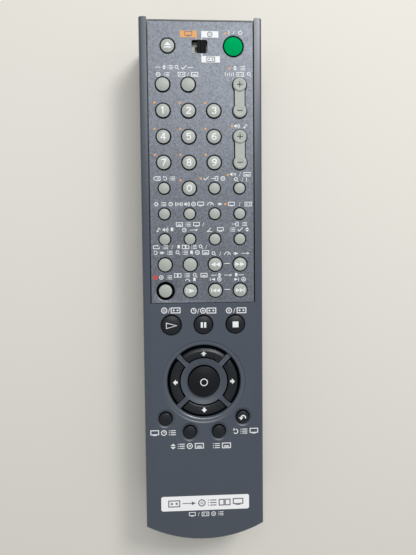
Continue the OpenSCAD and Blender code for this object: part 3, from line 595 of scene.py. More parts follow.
def softened(node, radius):
    """A copy of a node with its edges rounded to a radius in millimetres."""
    bm = bmesh.new()
    bm.from_mesh(frame["nodes"][node].data)
    bmesh.ops.remove_doubles(bm, verts=bm.verts, dist=MERGE * MM)
    bmesh.ops.dissolve_limit(
        bm, angle_limit=math.radians(FLAT_ANGLE), verts=bm.verts, edges=bm.edges
    )
    if node == "upper_case":
        slope_step(bm)
    for face in bm.faces:
        face.smooth = True
    piece = add_mesh(node + "_skin", bm, finish_of(node))
    if "custom_normal" in piece.data.attributes:
        piece.data.attributes.remove(piece.data.attributes["custom_normal"])
    rounding = piece.modifiers.new("rounding", "BEVEL")
    rounding.width = radius * MM
    rounding.segments = BEVEL_SEGMENTS
    rounding.limit_method = "ANGLE"
    rounding.angle_limit = math.radians(
        CASE_BEVEL_ANGLE if node.endswith("_case") else BEVEL_ANGLE
    )
    rounding.harden_normals = True
    wear(piece, node)


SHELL_RADII = {
    "upper_case": 0.18,
    "key_panel": 0.15,
    "lower_case": 0.18,
    "battery_cover": 0.2,
    "ir_window": 0.15,
    "up_key": 0.3,
    "left_key": 0.3,
    "down_key": 0.3,
    "right_key": 0.3,
    "channel_rocker": 0.2,
    "volume_rocker": 0.2,
    "mode_switch": 0.12,
    "switch_housing": 0.15,
}
for node, radius in SHELL_RADII.items():
    softened(node, radius)
print("softened:", len(SHELL_RADII), "shells and keys")

# %% [markdown]
# ## Round keys
# A small key is a turned shape: a crown that is a shallow dome, a rounded shoulder, a
# straight wall that slides in its hole, a flange that stops it falling out, and a stem
# that presses the rubber mat. A half profile turned round its axis gives all of that, and
# its places and radii are read back from the frame's boxes.

# %% Sizes of the round keys
KEY_GAP = 0.4
FLANGE_LAP = 0.45
FLANGE_T = 0.9
FLANGE_ROUND = 0.1
SEAT_GAP = 0.2
DECK_T = 2.4
STEM_R = 1.5
CROWN_SHARE = 0.14
DOME_STEPS = 6
SHOULDER_R = 0.35
SHOULDER_ANGLES = (18, 36, 54, 72, 90)
KEY_SIDES = 56
CREASE_ANGLE = 40
# The raised dot on the play key: its height, its half profile over the key's top, its sides
PLAY_DOT_H = 0.2
PLAY_DOT = [(0, PLAY_DOT_H), (0.2, PLAY_DOT_H - 0.03), (0.38, 0.06)]
PLAY_DOT_R = 0.5
PLAY_DOT_SIDES = 20

ARC_KEYS = {"up_key": 0, "left_key": 90, "down_key": 180, "right_key": 270}
ROUND_KEYS = [n for n in frame["nodes"] if n.endswith("_key") and n not in ARC_KEYS]
DECK_KEYS = [
    "play_key", "pause_key", "stop_key", "centre_key",
    "display_key", "top_menu_key", "menu_key", "return_key",
]


def key_size(node):
    """Place, radius and top of a round key's cap, from the box that holds its flange."""
    low, high = low_mm(node), high_mm(node)
    radius = (high.x - low.x) / 2 - KEY_GAP - FLANGE_LAP
    top = high.z - (PLAY_DOT_H if node == "play_key" else 0)
    return (low.x + high.x) / 2, (low.y + high.y) / 2, radius, top


def crown_height(node):
    """A function of x and y: how high the key's domed top is there."""
    x0, y0, radius, top = key_size(node)
    flat = radius - SHOULDER_R

    def height(x, y):
        share = ((x - x0) ** 2 + (y - y0) ** 2) / flat ** 2
        return top - CROWN_SHARE * radius * min(1, share)

    return height


print("round keys:", len(ROUND_KEYS), "of which in the case:", len(DECK_KEYS))


# %% [markdown]
# ## Turning a profile
# Each point of the profile becomes a ring, or a single point where it lies on the axis,
# and neighbouring rings are joined by faces. It is what a lathe does to a bar.


# %% Turning a profile
def lathe(bm, profile, x, y, sides):
    """Turn a half profile of (radius, height) points, in millimetres, round an upright axis."""
    rings = []
    for radius, height in profile:
        if radius == 0:
            rings.append([bm.verts.new((x * MM, y * MM, height * MM))])
            continue
        rings.append([
            bm.verts.new((
                (x + radius * math.cos(2 * math.pi * i / sides)) * MM,
                (y + radius * math.sin(2 * math.pi * i / sides)) * MM,
                height * MM,
            ))
            for i in range(sides)
        ])
    for upper, lower in zip(rings, rings[1:]):
        for i in range(sides):
            j = (i + 1) % sides
            corners = [upper[i % len(upper)], lower[i % len(lower)],
                       lower[j % len(lower)], upper[j % len(upper)]]
            bm.faces.new(list(dict.fromkeys(corners)))


def smooth_mesh(name, bm, finish):
    """An object that is smooth along its curves and sharp at its real edges."""
    for face in bm.faces:
        face.smooth = True
    piece = add_mesh(name, bm, finish)
    piece.data.set_sharp_from_angle(angle=math.radians(CREASE_ANGLE))
    return piece


print("a turned cap has", KEY_SIDES, "sides")

# %% [markdown]
# ## The caps
# The profile runs from the middle of the dome outwards, down over the shoulder and the
# wall, out and in again round the flange, and down the stem. One key, the one for play,
# also has a small raised dot, so that a thumb can find it in the dark.


# %% The caps of the round keys
def round_key(node):
    """A turned cap with its flange and its stem, in the place of the node."""
    x, y, radius, top = key_size(node)
    foot = low_mm(node).z
    seat = (FACE_Z - DECK_T if node in DECK_KEYS else PANEL_LOW_Z) - SEAT_GAP
    lap = radius + KEY_GAP + FLANGE_LAP
    flat = radius - SHOULDER_R
    crown = CROWN_SHARE * radius
    edge = top - crown - SHOULDER_R
    dome = [
        (flat * i / DOME_STEPS, top - crown * (i / DOME_STEPS) ** 2)
        for i in range(DOME_STEPS + 1)
    ]
    shoulder = [
        (flat + SHOULDER_R * math.sin(math.radians(a)),
         edge + SHOULDER_R * math.cos(math.radians(a)))
        for a in SHOULDER_ANGLES
    ]
    flange = [
        (radius, seat), (lap - FLANGE_ROUND, seat), (lap, seat - FLANGE_ROUND),
        (lap, seat - FLANGE_T + FLANGE_ROUND), (lap - FLANGE_ROUND, seat - FLANGE_T),
    ]
    stem = [
        (STEM_R, seat - FLANGE_T), (STEM_R, foot + FLANGE_ROUND),
        (STEM_R - FLANGE_ROUND, foot), (0, foot),
    ]
    bm = bmesh.new()
    lathe(bm, dome + shoulder + flange + stem, x, y, KEY_SIDES)
    if node == "play_key":
        over = [(r, top + z) for r, z in PLAY_DOT]
        under = [(PLAY_DOT_R, top - crown), (0, top - crown)]
        lathe(bm, over + under, x, y + radius / 2, PLAY_DOT_SIDES)
    wear(smooth_mesh(node + "_cap", bm, finish_of(node)), node)


for node in ROUND_KEYS:
    round_key(node)
print("caps turned:", len(ROUND_KEYS))

# %% [markdown]
# ## The rim of the dish
# The pad lies in a round dish whose rim rolls over softly into the key face, and catches
# the lamp. It is a turned ring laid over the rim: steep beside the arc keys, then flatter
# and flatter outwards.

# %% Dish rim
# Radius from the pad's middle, and height over the key face
RIM_PROFILE = [
    (16.3, -1.4), (16.36, -0.98), (16.56, -0.62), (16.95, -0.36), (17.4, -0.235),
    (17.75, -0.21), (18.0, -0.25), (18.0, -0.6), (16.6, -1.6), (16.3, -1.7), (16.3, -1.4),
]
RIM_SIDES = 128
bm = bmesh.new()
lathe(bm, [(r, FACE_Z + z) for r, z in reversed(RIM_PROFILE)], PAD.x, PAD.y, RIM_SIDES)
bmesh.ops.remove_doubles(bm, verts=bm.verts, dist=MERGE * MM)
bmesh.ops.recalc_face_normals(bm, faces=bm.faces)
dish_rim = smooth_mesh("dish_rim", bm, LIT_RIM_FINISH)
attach(dish_rim, "case")
print("dish rim:", len(RIM_PROFILE) - 1, "corners to the profile")

# %% [markdown]
# ## Marks, as flat shapes
# The marks are screen-printed: ink a few hundredths of a millimetre thick. Each is drawn
# from a handful of flat shapes, in millimetres, about its own middle. A mark is a digit, a
# transport sign as on any such remote, or a small pictogram of what the key does. No font
# is needed for them.


# %% Flat shapes
def bar(x0, y0, x1, y1):
    """A filled box between two corners."""
    return [[(x0, y0), (x1, y0), (x1, y1), (x0, y1)]]


def block(*points):
    """One filled shape through its corners."""
    return [list(points)]


def dot(x, y, r, sides=16):
    """A filled disc."""
    turn = 2 * math.pi / sides
    return [[(x + r * math.cos(turn * i), y + r * math.sin(turn * i)) for i in range(sides)]]


def moved(shapes, dx, dy, scale=1.0):
    """The same shapes, scaled about their origin and then shifted."""
    return [[(x * scale + dx, y * scale + dy) for x, y in corners] for corners in shapes]


def turned(shapes, degrees):
    """The same shapes, turned about their origin."""
    c, s = math.cos(math.radians(degrees)), math.sin(math.radians(degrees))
    return [[(x * c - y * s, x * s + y * c) for x, y in corners] for corners in shapes]


print("a bar's corners:", bar(0, 0, 2, 1)[0])

# %% [markdown]
# ## Strokes
# A stroke is a path given a width. At each corner its two sides meet on the line that
# halves the corner, and rings and arcs are paths of many short steps.

# %% Strokes
STROKE = 0.44
LEAST_MITRE = 0.4
FULL_TURN = 360


def line(points, width, closed=False):
    """A stroke along points, its corners mitred."""
    pts = [Vector(p) for p in points]
    count = len(pts)
    left, right = [], []
    for i, point in enumerate(pts):
        before = pts[i - 1] if i or closed else None
        after = pts[(i + 1) % count] if i < count - 1 or closed else None
        ahead = (after - point).normalized() if after else (point - before).normalized()
        behind = (point - before).normalized() if before else ahead
        along = (ahead + behind).normalized()
        side = Vector((-along.y, along.x))
        reach = width / 2 / max(LEAST_MITRE, side.dot(Vector((-ahead.y, ahead.x))))
        left.append(point + side * reach)
        right.append(point - side * reach)
    shapes = []
    for i in range(count if closed else count - 1):
        j = (i + 1) % count
        shapes.append([tuple(right[i]), tuple(right[j]), tuple(left[j]), tuple(left[i])])
    return shapes


def frame_line(x0, y0, x1, y1, width):
    """The outline of a box."""
    return line([(x0, y0), (x1, y0), (x1, y1), (x0, y1)], width, closed=True)


def bend(x, y, rx, ry, width, start, end, steps):
    """A round or oval stroke, or part of one, between two angles in degrees."""
    closed = end - start >= FULL_TURN
    count = steps + (not closed)
    angles = [math.radians(start + (end - start) * i / steps) for i in range(count)]
    return line([(x + rx * math.cos(a), y + ry * math.sin(a)) for a in angles], width, closed)


def hoop(x, y, r, width, start=0, end=FULL_TURN, steps=20):
    """A ring, or part of one."""
    return bend(x, y, r, r, width, start, end, steps)


def oval(x, y, rx, ry, start=0, end=FULL_TURN, steps=24):
    """An upright oval in the digits' stroke, or part of one."""
    return bend(x, y, rx, ry, STROKE, start, end, steps)


print("quads in a ring:", len(hoop(0, 0, 1, STROKE)))

# %% [markdown]
# ## Digits
# The digits are wide and even, of one stroke width, as on most remotes. Ovals and straight
# strokes make all ten, and the nine is the six turned over.

# %% The ten digits
SIX = oval(0, -0.55, 0.8, 0.65) + oval(0.35, -0.3, 1.15, 1.4, start=72, end=180, steps=8)
DIGITS = {
    0: oval(0, 0, 0.9, 1.2),
    1: line([(-0.65, 0.75), (0.05, 1.2), (0.05, -1.45)], STROKE),
    2: oval(0, 0.5, 0.8, 0.7, start=-35, end=165, steps=10)
    + line([(0.68, 0.12), (-0.75, -1.15)], STROKE) + bar(-1.0, -1.45, 1.05, -0.95),
    3: oval(0, 0.6, 0.75, 0.62, start=-80, end=160, steps=10)
    + oval(0, -0.58, 0.85, 0.64, start=-160, end=80, steps=10),
    4: line([(0.25, 1.15), (-0.95, -0.55), (1.15, -0.55)], STROKE)
    + bar(0.15, -1.45, 0.65, 1.4),
    5: line([(0.9, 1.2), (-0.65, 1.2), (-0.75, 0.1)], STROKE)
    + oval(-0.02, -0.45, 0.85, 0.78, start=-155, end=140, steps=14),
    6: SIX,
    7: line([(-0.95, 1.2), (0.85, 1.2), (-0.25, -1.4)], STROKE),
    8: oval(0, 0.62, 0.68, 0.58) + oval(0, -0.6, 0.82, 0.62),
    9: turned(SIX, 180),
}
DIGIT_SCALE = 1.08
print("digits:", len(DIGITS))

# %% [markdown]
# ## From flat shapes to ink
# A mark is laid on its surface by a function that says how high the surface is at x and y.
# On a domed key the flat shapes are first cut into small pieces, so that the ink can bend
# with the dome and doesn't sink into it or float over it.

# %% Ink
INK_LIFT = 0.02
INK_STEP = 0.7


def cut_across(bm, step):
    """Cut a flat mesh along x and y into pieces no larger than step."""
    for axis in (0, 1):
        start = min(vert.co[axis] for vert in bm.verts)
        end = max(vert.co[axis] for vert in bm.verts)
        for k in range(1, math.ceil((end - start) / step)):
            plane = Vector((0, 0, 0))
            plane[axis] = start + k * step
            normal = Vector((axis == 0, axis == 1, 0))
            whole = bm.verts[:] + bm.edges[:] + bm.faces[:]
            bmesh.ops.bisect_plane(bm, geom=whole, plane_co=plane, plane_no=normal)


def printed(name, shapes, height, ink, body, lift=INK_LIFT, step=None):
    """Lay shapes on a surface whose height is a function of x and y, and let them ride."""
    bm = bmesh.new()
    for corners in shapes:
        bm.faces.new([bm.verts.new((x, y, 0)) for x, y in corners])
    for face in bm.faces:
        face.normal_update()
        if face.normal.z < 0:
            face.normal_flip()
    if step:
        cut_across(bm, step)
    for vert in bm.verts:
        x, y = vert.co.xy
        vert.co = Vector((x, y, height(x, y) + lift)) * MM
    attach(add_mesh(name, bm, ink), body)


def on_key(node, shapes):
    """Print shapes, drawn about the key's middle, in white on its crown."""
    x, y = key_size(node)[:2]
    printed(node + "_mark", moved(shapes, x, y), crown_height(node), WHITE_INK,
            BODY_OF[node], step=INK_STEP)


print("ink stands", INK_LIFT, "mm over its surface")

# %% [markdown]
# ## Signs on the round keys
# The transport signs are triangles and bars. The ones that point back are the forward ones
# turned over, so the pairs match.


# %% Signs on the round keys
def pointer(x, w, h):
    """A solid triangle that points right, from x to x + w."""
    return block((x, -h / 2), (x + w, 0), (x, h / 2))


FAST = pointer(-2.2, 2.1, 2.0) + pointer(-0.1, 2.1, 2.0)
SKIP = pointer(-2.0, 1.7, 1.8) + pointer(-0.3, 1.7, 1.8) + bar(1.45, -0.9, 1.85, 0.9)
KEY_SIGNS = {
    "eject_key": block((-1.5, -0.1), (1.5, -0.1), (0, 1.35)) + bar(-1.5, -1.1, 1.5, -0.55),
    "scan_forward_key": FAST,
    "scan_back_key": turned(FAST, 180),
    "next_key": SKIP,
    "previous_key": turned(SKIP, 180),
    "step_key": frame_line(-1.9, -0.9, -1.2, 0.9, 0.25) + pointer(-0.7, 2.6, 1.9),
    "play_key": line([(-2.1, -1.3), (2.4, -0.1), (-2.1, 1.1)], 0.3, closed=True),
    "pause_key": bar(-1.2, -1.2, -0.25, 1.2) + bar(0.25, -1.2, 1.2, 1.2),
    "stop_key": bar(-1.3, -1.3, 1.3, 1.3),
    "centre_key": hoop(0, 0, 1.5, 0.38, steps=32),
    "return_key": hoop(0.1, -0.1, 1.0, 0.5, start=-20, end=175)
    + block((-1.9, 0.1), (-0.9, -1.2), (0.1, 0.1)),
}
for node, shapes in KEY_SIGNS.items():
    on_key(node, shapes)
for digit, shapes in DIGITS.items():
    on_key(f"digit_{digit}_key", moved(shapes, 0, 0, DIGIT_SCALE))
print("marks on keys:", len(KEY_SIGNS) + len(DIGITS))

# %% [markdown]
# ## Signs on the arc keys and the rockers
# Each arc key has a short white arrow that points outwards, just inside its crest. The
# rockers' plus and minus are sunk lines; they are drawn flat, and the shade down in them is
# painted in a dark grey ink.

# %% Arrows, plus and minus
ARC_MARK_R = 12.5
ARC_MARK_SCALE = 0.86
ARC_MARK_LIFT = 0.03
ARC_IN_R = 10.8
ARC_CREST_R = 14
ARC_ROUND = 0.4
ARC_DROP = 0.5
ARC_TOP = high_mm("up_key").z
ARROW = moved(
    block((-1.5, 0), (1.5, 0), (0, 1.5)) + bar(-0.55, -0.9, 0.55, 0.01), 0, 0, ARC_MARK_SCALE
)


def arc_height(x, y):
    """The arc keys' top slopes up from the inner edge to the crest."""
    r = math.hypot(x - PAD.x, y - PAD.y)
    slope = ARC_DROP / (ARC_CREST_R - 2 * ARC_ROUND - ARC_IN_R)
    return ARC_TOP - slope * (ARC_CREST_R - ARC_ROUND - r)


for node, turn in ARC_KEYS.items():
    arrow = turned(moved(ARROW, 0, ARC_MARK_R), turn)
    printed(node + "_mark", moved(arrow, PAD.x, PAD.y), arc_height, WHITE_INK,
            BODY_OF[node], lift=ARC_MARK_LIFT)

MINUS = bar(-1.3, -0.19, 1.3, 0.19)
PLUS = MINUS + turned(MINUS, 90)
ROCKER_MARK_IN = 2.95
ROCKER_MARK_DROP = 0.12
ROCKER_MARK_LIFT = 0.05


def rocker_marks(node):
    """A plus near a rocker's upper end and a minus near its lower one."""
    low, high = low_mm(node), high_mm(node)
    x = (low.x + high.x) / 2
    marks = moved(PLUS, x, high.y - ROCKER_MARK_IN) + moved(MINUS, x, low.y + ROCKER_MARK_IN)
    # The dark grey ink is painted shade, standing in for the shade inside sunk lines
    printed(node + "_marks", marks, lambda px, py: high.z - ROCKER_MARK_DROP, ROCKER_SHADE_INK,
            BODY_OF[node], lift=ROCKER_MARK_LIFT)


for node in ("channel_rocker", "volume_rocker"):
    rocker_marks(node)
print("pad middle:", tuple(round(v, 2) for v in PAD))

# %% [markdown]
# ## Pictograms beside the keys
# Each label is a row of small pictograms, as wide as the label's place. They are drawn
# once here, from the same few shapes, and placed in the cells after. The ones with
# repeated parts get a helper of their own.

# %% Helpers for the pictograms
THIN = 0.34
FINE = 0.2


def speaker():
    """A small loudspeaker, seen from the side."""
    return bar(-1.5, -0.4, -1.0, 0.4) + block((-1.0, -0.4), (-0.3, -1.0), (-0.3, 1.0), (-1.0, 0.4))


def page(rows):
    """A framed page with lines at the given heights."""
    shapes = frame_line(-1.6, -0.95, 1.6, 0.95, THIN)
    for y in rows:
        shapes += bar(-1.0, y - 0.13, 1.0, y + 0.13)
    return shapes


def menu_list():
    """Three lines, each with a square before it."""
    shapes = []
    for y in (-0.8, 0, 0.8):
        shapes += bar(-1.3, y - 0.16, -0.95, y + 0.16) + bar(-0.6, y - 0.16, 1.4, y + 0.16)
    return shapes


def gear():
    """A ring with six teeth."""
    teeth = []
    for k in range(6):
        teeth += turned(bar(0.85, -0.2, 1.2, 0.2), 60 * k)
    return hoop(0, 0, 0.75, 0.36, steps=18) + teeth


print("line width of the pictograms:", THIN, "mm")

# %% [markdown]
# ## The drawings
# Each name says what is drawn. The lines are as thin as a screen can print them well, and
# every drawing fits a box about 4 mm wide and 2 mm high, so that any of them can stand
# beside any other.

# %% The pictograms
PICTOGRAMS = {
    "disc": hoop(0, 0, 1.0, THIN) + hoop(0, 0, 0.35, 0.18, steps=10),
    "tape": frame_line(-1.7, -0.95, 1.7, 0.95, THIN) + dot(-0.75, 0, 0.36) + dot(0.75, 0, 0.36),
    "screen": frame_line(-1.5, -0.6, 1.5, 1.0, THIN) + bar(-0.8, -1.05, 0.8, -0.8),
    "one": bar(-0.15, -1.0, 0.15, 1.0),
    "power": hoop(0, 0, 0.9, THIN, start=130, end=410) + bar(-0.14, 0.1, 0.14, 1.15),
    "up_down": block((-1.0, 0.2), (1.0, 0.2), (0, 1.1))
    + block((-1.0, -0.2), (0, -1.1), (1.0, -0.2)),
    "tracks": bar(-2.0, -1.0, -1.7, 1.0) + bar(-1.0, -1.0, -0.7, 0.4) + bar(0, -1.0, 0.3, 1.0)
    + bar(1.0, -1.0, 1.3, 0.4) + bar(2.0, -1.0, 2.3, 1.0),
    "loud": speaker() + hoop(-0.3, 0, 0.75, THIN, start=-50, end=50, steps=6)
    + hoop(-0.3, 0, 1.45, THIN, start=-50, end=50, steps=8),
    "mute": speaker() + line([(0.3, -0.6), (1.5, 0.6)], THIN)
    + line([(0.3, 0.6), (1.5, -0.6)], THIN),
    "zoom": hoop(-0.3, 0.25, 0.75, THIN) + line([(0.25, -0.3), (1.0, -1.05)], THIN),
    "erase": line([(-1.7, 0), (-0.8, 0.95), (1.6, 0.95), (1.6, -0.95), (-0.8, -0.95)], THIN,
                  closed=True)
    + line([(0, -0.45), (0.9, 0.45)], THIN) + line([(0, 0.45), (0.9, -0.45)], THIN),
    "check": line([(-1.3, 0.1), (-0.4, -0.8), (1.4, 1.0)], 0.36),
    "gear": gear(),
    "around": dot(0, 0, 0.4) + hoop(0, 0, 1.0, THIN, start=-50, end=50, steps=6)
    + hoop(0, 0, 1.0, THIN, start=130, end=230, steps=6)
    + hoop(0, 0, 1.75, THIN, start=-38, end=38, steps=6)
    + hoop(0, 0, 1.75, THIN, start=142, end=218, steps=6),
    "gauge": hoop(0, -0.7, 1.5, THIN, start=0, end=180, steps=14)
    + line([(0, -0.7), (0.8, 0.35)], 0.3),
    "inlet": line([(0.1, 0.95), (1.6, 0.95), (1.6, -0.95), (0.1, -0.95)], THIN)
    + bar(-1.7, -0.14, 0.1, 0.14) + block((0.0, -0.6), (0.9, 0), (0.0, 0.6)),
    "note": dot(-0.55, -0.75, 0.42) + bar(-0.25, -0.75, 0.02, 1.05)
    + line([(-0.12, 0.95), (0.75, 0.45), (0.75, -0.1)], 0.3),
    "caption": page((-0.1, -0.5)),
    "clock": hoop(0, 0, 0.95, THIN) + line([(0, 0.6), (0, 0), (0.5, 0)], 0.22),
    "angle": line([(1.3, -0.95), (-1.2, -0.95), (0.7, 1.0)], THIN)
    + hoop(-1.2, -0.95, 1.2, FINE, start=0, end=46, steps=5),
    "loop": line([(0.4, 0.75), (-1.5, 0.75), (-1.5, -0.75), (1.5, -0.75), (1.5, 0.2)], THIN)
    + block((0.3, 0.25), (1.2, 0.75), (0.3, 1.25)),
    "again": hoop(0, 0, 0.85, THIN, start=-150, end=120, steps=16)
    + block((-0.9, 0.2), (0.1, 0.75), (-0.8, 1.3)),
    "ribbon": block((-0.6, -1.0), (0, -0.4), (-0.6, 1.0))
    + block((0, -0.4), (0.6, -1.0), (0.6, 1.0)) + block((-0.6, 1.0), (0, -0.4), (0.6, 1.0)),
    "list": menu_list(),
    "slow": bar(-1.5, -0.7, -1.2, 0.7) + pointer(-0.9, 1.8, 1.5),
    "arrow": bar(-2.2, -0.13, 0.9, 0.13) + block((0.7, -0.6), (2.0, 0), (0.7, 0.6)),
    "reel": hoop(0, 0, 0.95, THIN) + dot(0, 0, 0.36),
    "pictures": frame_line(-1.7, -0.9, -0.2, 0.9, THIN) + frame_line(0.2, -0.9, 1.7, 0.9, THIN),
    "hop": hoop(0, -0.7, 1.0, THIN, start=20, end=180, steps=10)
    + block((0.5, -0.3), (1.5, -0.3), (1.0, -1.1)),
    "slash": line([(-0.35, -1.0), (0.35, 1.0)], FINE),
    "to_start": bar(-1.4, -0.7, -1.1, 0.7) + turned(pointer(-1.2, 1.9, 1.4), 180),
    "to_end": bar(1.1, -0.7, 1.4, 0.7) + pointer(-0.9, 1.9, 1.4),
}
print("pictograms:", len(PICTOGRAMS))

# %% [markdown]
# ## The labels
# Every label stands over or under its key. The keys stand 11 mm apart, so the widths are
# chosen to leave a gap between one label and the next. Each row of the table says where a
# label stands from the middle of its key, and what is in it.

# %% Which label stands where
# Each label: key, sideways shift, height over the key's middle, width, pictograms in order
PLATE_LABELS = [
    ("power_key", 1.0, 5.9, 6.0, ["one", "slash", "power"]),
    ("select_a_key", 5.2, 7.3, 10.6, ["up_down", "list", "zoom", "check"]),
    ("select_a_key", 0.1, 4.3, 5.9, ["disc", "list"]),
    ("select_b_key", 0, 4.4, 8.8, ["tape", "slash", "caption"]),
    ("channel_rocker", -0.1, 12.8, 5.3, ["up_down", "list"]),
    ("channel_rocker", -0.5, 10.2, 11.5, ["tracks", "tape", "zoom"]),
    ("volume_rocker", 0.4, 10.3, 5.7, ["loud", "note"]),
    ("clear_key", 0.1, 4.3, 9.6, ["erase", "again", "list"]),
    ("enter_key", -0.1, 4.3, 9.6, ["check", "inlet", "disc"]),
    ("mute_key", 0.4, 6.1, 9.0, ["mute", "slash", "caption"]),
    ("mute_key", 0.4, 3.75, 5.6, ["zoom", "slash", "one"]),
    ("setup_key", -0.4, 4.3, 8.3, ["gear", "list", "clock"]),
    ("surround_key", 0, 4.3, 12.6, ["around", "loud", "disc", "screen"]),
    ("speed_key", 0.1, 4.3, 6.8, ["gauge", "slow"]),
    ("input_a_key", 0.2, 4.2, 10.5, ["screen", "slash", "tape"]),
    ("audio_key", 0.1, 4.3, 7.2, ["note", "loud", "ribbon"]),
    ("subtitle_key", 0.1, 6.5, 12.3, ["caption", "list", "screen", "slash"]),
    ("subtitle_key", 0.1, 4.1, 7.0, ["clock", "arrow"]),
    ("angle_key", 0.1, 4.2, 7.5, ["angle", "screen"]),
    ("input_b_key", -0.1, 6.6, 6.8, ["inlet", "list"]),
    ("input_b_key", -0.1, 4.2, 8.5, ["list", "check", "up_down"]),
    ("repeat_key", -0.8, 7.8, 8.8, ["loop", "list", "slash"]),
    ("repeat_key", -0.8, 5.3, 8.2, ["again", "slow", "list"]),
    ("bookmark_key", 1.0, 7.8, 13.0, ["ribbon", "pictures", "list", "zoom", "slash"]),
    ("bookmark_key", 1.0, 5.3, 14.7, ["zoom", "list", "ribbon", "disc", "caption"]),
    ("scan_back_key", 6.9, 4.75, 16.8, ["zoom", "slash", "gauge", "slow", "arrow"]),
    ("record_key", 0.1, 6.0, 5.7, ["reel", "list"]),
    ("step_key", 0.2, 6.8, 14.7, ["pictures", "list", "zoom", "caption"]),
    ("step_key", 0, 4.9, 4.6, ["hop", "ribbon"]),
    ("previous_key", 0.2, 4.9, 5.1, ["to_start", "reel"]),
    ("next_key", 0, 4.8, 5.1, ["to_end", "reel"]),
    ("next_key", -5.6, 6.75, 8.8, ["up_down", "arrow", "ribbon"]),
]
CASE_LABELS = [
    ("play_key", -0.1, 6.5, 8.5, ["disc", "slash", "tape"]),
    ("pause_key", 0.1, 6.2, 11.3, ["clock", "slash", "reel", "tape"]),
    ("stop_key", 0.4, 6.1, 9.1, ["disc", "slash", "tape"]),
    ("display_key", -1.2, -6.4, 11.3, ["screen", "clock", "list"]),
    ("top_menu_key", -1.3, -6.4, 14.9, ["up_down", "list", "disc", "caption"]),
    ("menu_key", 1.3, -6.6, 8.1, ["list", "caption"]),
    ("return_key", 1.3, -6.6, 11.2, ["again", "list", "screen"]),
]
print("labels:", len(PLATE_LABELS), "on the plate,", len(CASE_LABELS), "on the case")

# %% [markdown]
# ## Laying out the labels
# The pictograms of a label are spread evenly over its width, as a printer would space
# them: the widths of the drawings are added up, and the rest is shared out as gaps.

# %% Labels on the plate and the case
PLATE_LABEL_SCALE = 0.86
CASE_LABEL_SCALE = 1.15
LEAST_GAP = 0.2


def width_of(shapes):
    """The leftmost and the rightmost x of some shapes."""
    xs = [x for corners in shapes for x, y in corners]
    return min(xs), max(xs)


def label(names, x, y, width=0, scale=1.0):
    """A row of pictograms about a middle, spread evenly over a width."""
    spans = [width_of(PICTOGRAMS[name]) for name in names]
    drawn = sum(right - left for left, right in spans) * scale
    gap = max(LEAST_GAP, (width - drawn) / max(1, len(names) - 1))
    at = x - (drawn + gap * (len(names) - 1)) / 2
    shapes = []
    for name, (left, right) in zip(names, spans):
        shapes += moved(PICTOGRAMS[name], at - left * scale, y, scale)
        at += (right - left) * scale + gap
    return shapes


def centre_of(node):
    """The middle of a node's box, seen from above."""
    low, high = low_mm(node), high_mm(node)
    return (low.x + high.x) / 2, (low.y + high.y) / 2


def labels(rows, scale):
    """All the labels of a list, each beside its key."""
    shapes = []
    for node, dx, dy, width, names in rows:
        x, y = centre_of(node)
        shapes += label(names, x + dx, y + dy, width, scale)
    return shapes


plate_white = labels(PLATE_LABELS, PLATE_LABEL_SCALE)
case_white = labels(CASE_LABELS, CASE_LABEL_SCALE)
print("label faces:", len(plate_white) + len(case_white))

# %% [markdown]
# ## Dashes and dots
# Two headings span a pair of keys and have a dash on either side, and a dash joins each
# pair of keys that belong together. The dots of orange ink tell which keys still work when
# the switch is set to the screen. Each is placed from its key.

# %% Dashes and orange dots
DASH_HALF = 0.13
# Dashes of a heading: the key it is placed from, its height over it, and the dash's ends
HEADING_DASHES = [
    ("select_a_key", 7.3, -19.6, -17.3), ("select_a_key", 7.3, -5.6, -3.3),
    ("next_key", 6.75, 3.7, 6.1), ("next_key", 6.75, 15.8, 18.2),
]
# A dash between two keys, from the middle of the right one
LINK_DASH = (-6.9, 0.2, -4.5, 0.5)
DOT_R = 0.5
# Orange dots: the key, and the sideways shift and height from its middle
ORANGE_DOTS = [(f"digit_{digit}_key", -3.7, 3.4) for digit in range(1, 10)] + [
    ("digit_0_key", -3.8, 3.45), ("power_key", -3.5, 5.5), ("channel_rocker", -4.3, 12.65),
    ("volume_rocker", -3.4, 10.3), ("digit_0_key", 5.1, 4.25), ("mute_key", -5.1, 5.75),
    ("input_a_key", -6.3, 4.25),
]
RECORD_DOT = (-4.3, 6.0, 0.95)
RECORD_DOT_SIDES = 24

for node, dy, x0, x1 in HEADING_DASHES:
    y = centre_of(node)[1] + dy
    plate_white += bar(x0, y - DASH_HALF, x1, y + DASH_HALF)
for node in ("scan_forward_key", "next_key"):
    plate_white += moved(bar(*LINK_DASH), *centre_of(node))
orange = []
for node, dx, dy in ORANGE_DOTS:
    x, y = centre_of(node)
    orange += dot(x + dx, y + dy, DOT_R)
record_x, record_y = centre_of("record_key")
record_dot = dot(record_x + RECORD_DOT[0], record_y + RECORD_DOT[1], RECORD_DOT[2],
                 RECORD_DOT_SIDES)
print("orange dots:", len(ORANGE_DOTS))

# %% [markdown]
# ## Signs by the switch
# The switch chooses what the remote speaks to. Three small plates of ink, each with a
# leader line down or up to the slot, show its places: orange for the screen, white for the
# disc, and white for the tape on the other side.

# %% Signs by the switch
SWITCH_X, SWITCH_Y = centre_of("switch_housing")
SLOT_TOP = SWITCH_Y + 3.0
SLOT_BOTTOM = SWITCH_Y - 3.1
SCREEN_X = SWITCH_X - 1.35
DISC_X = SWITCH_X + 1.0

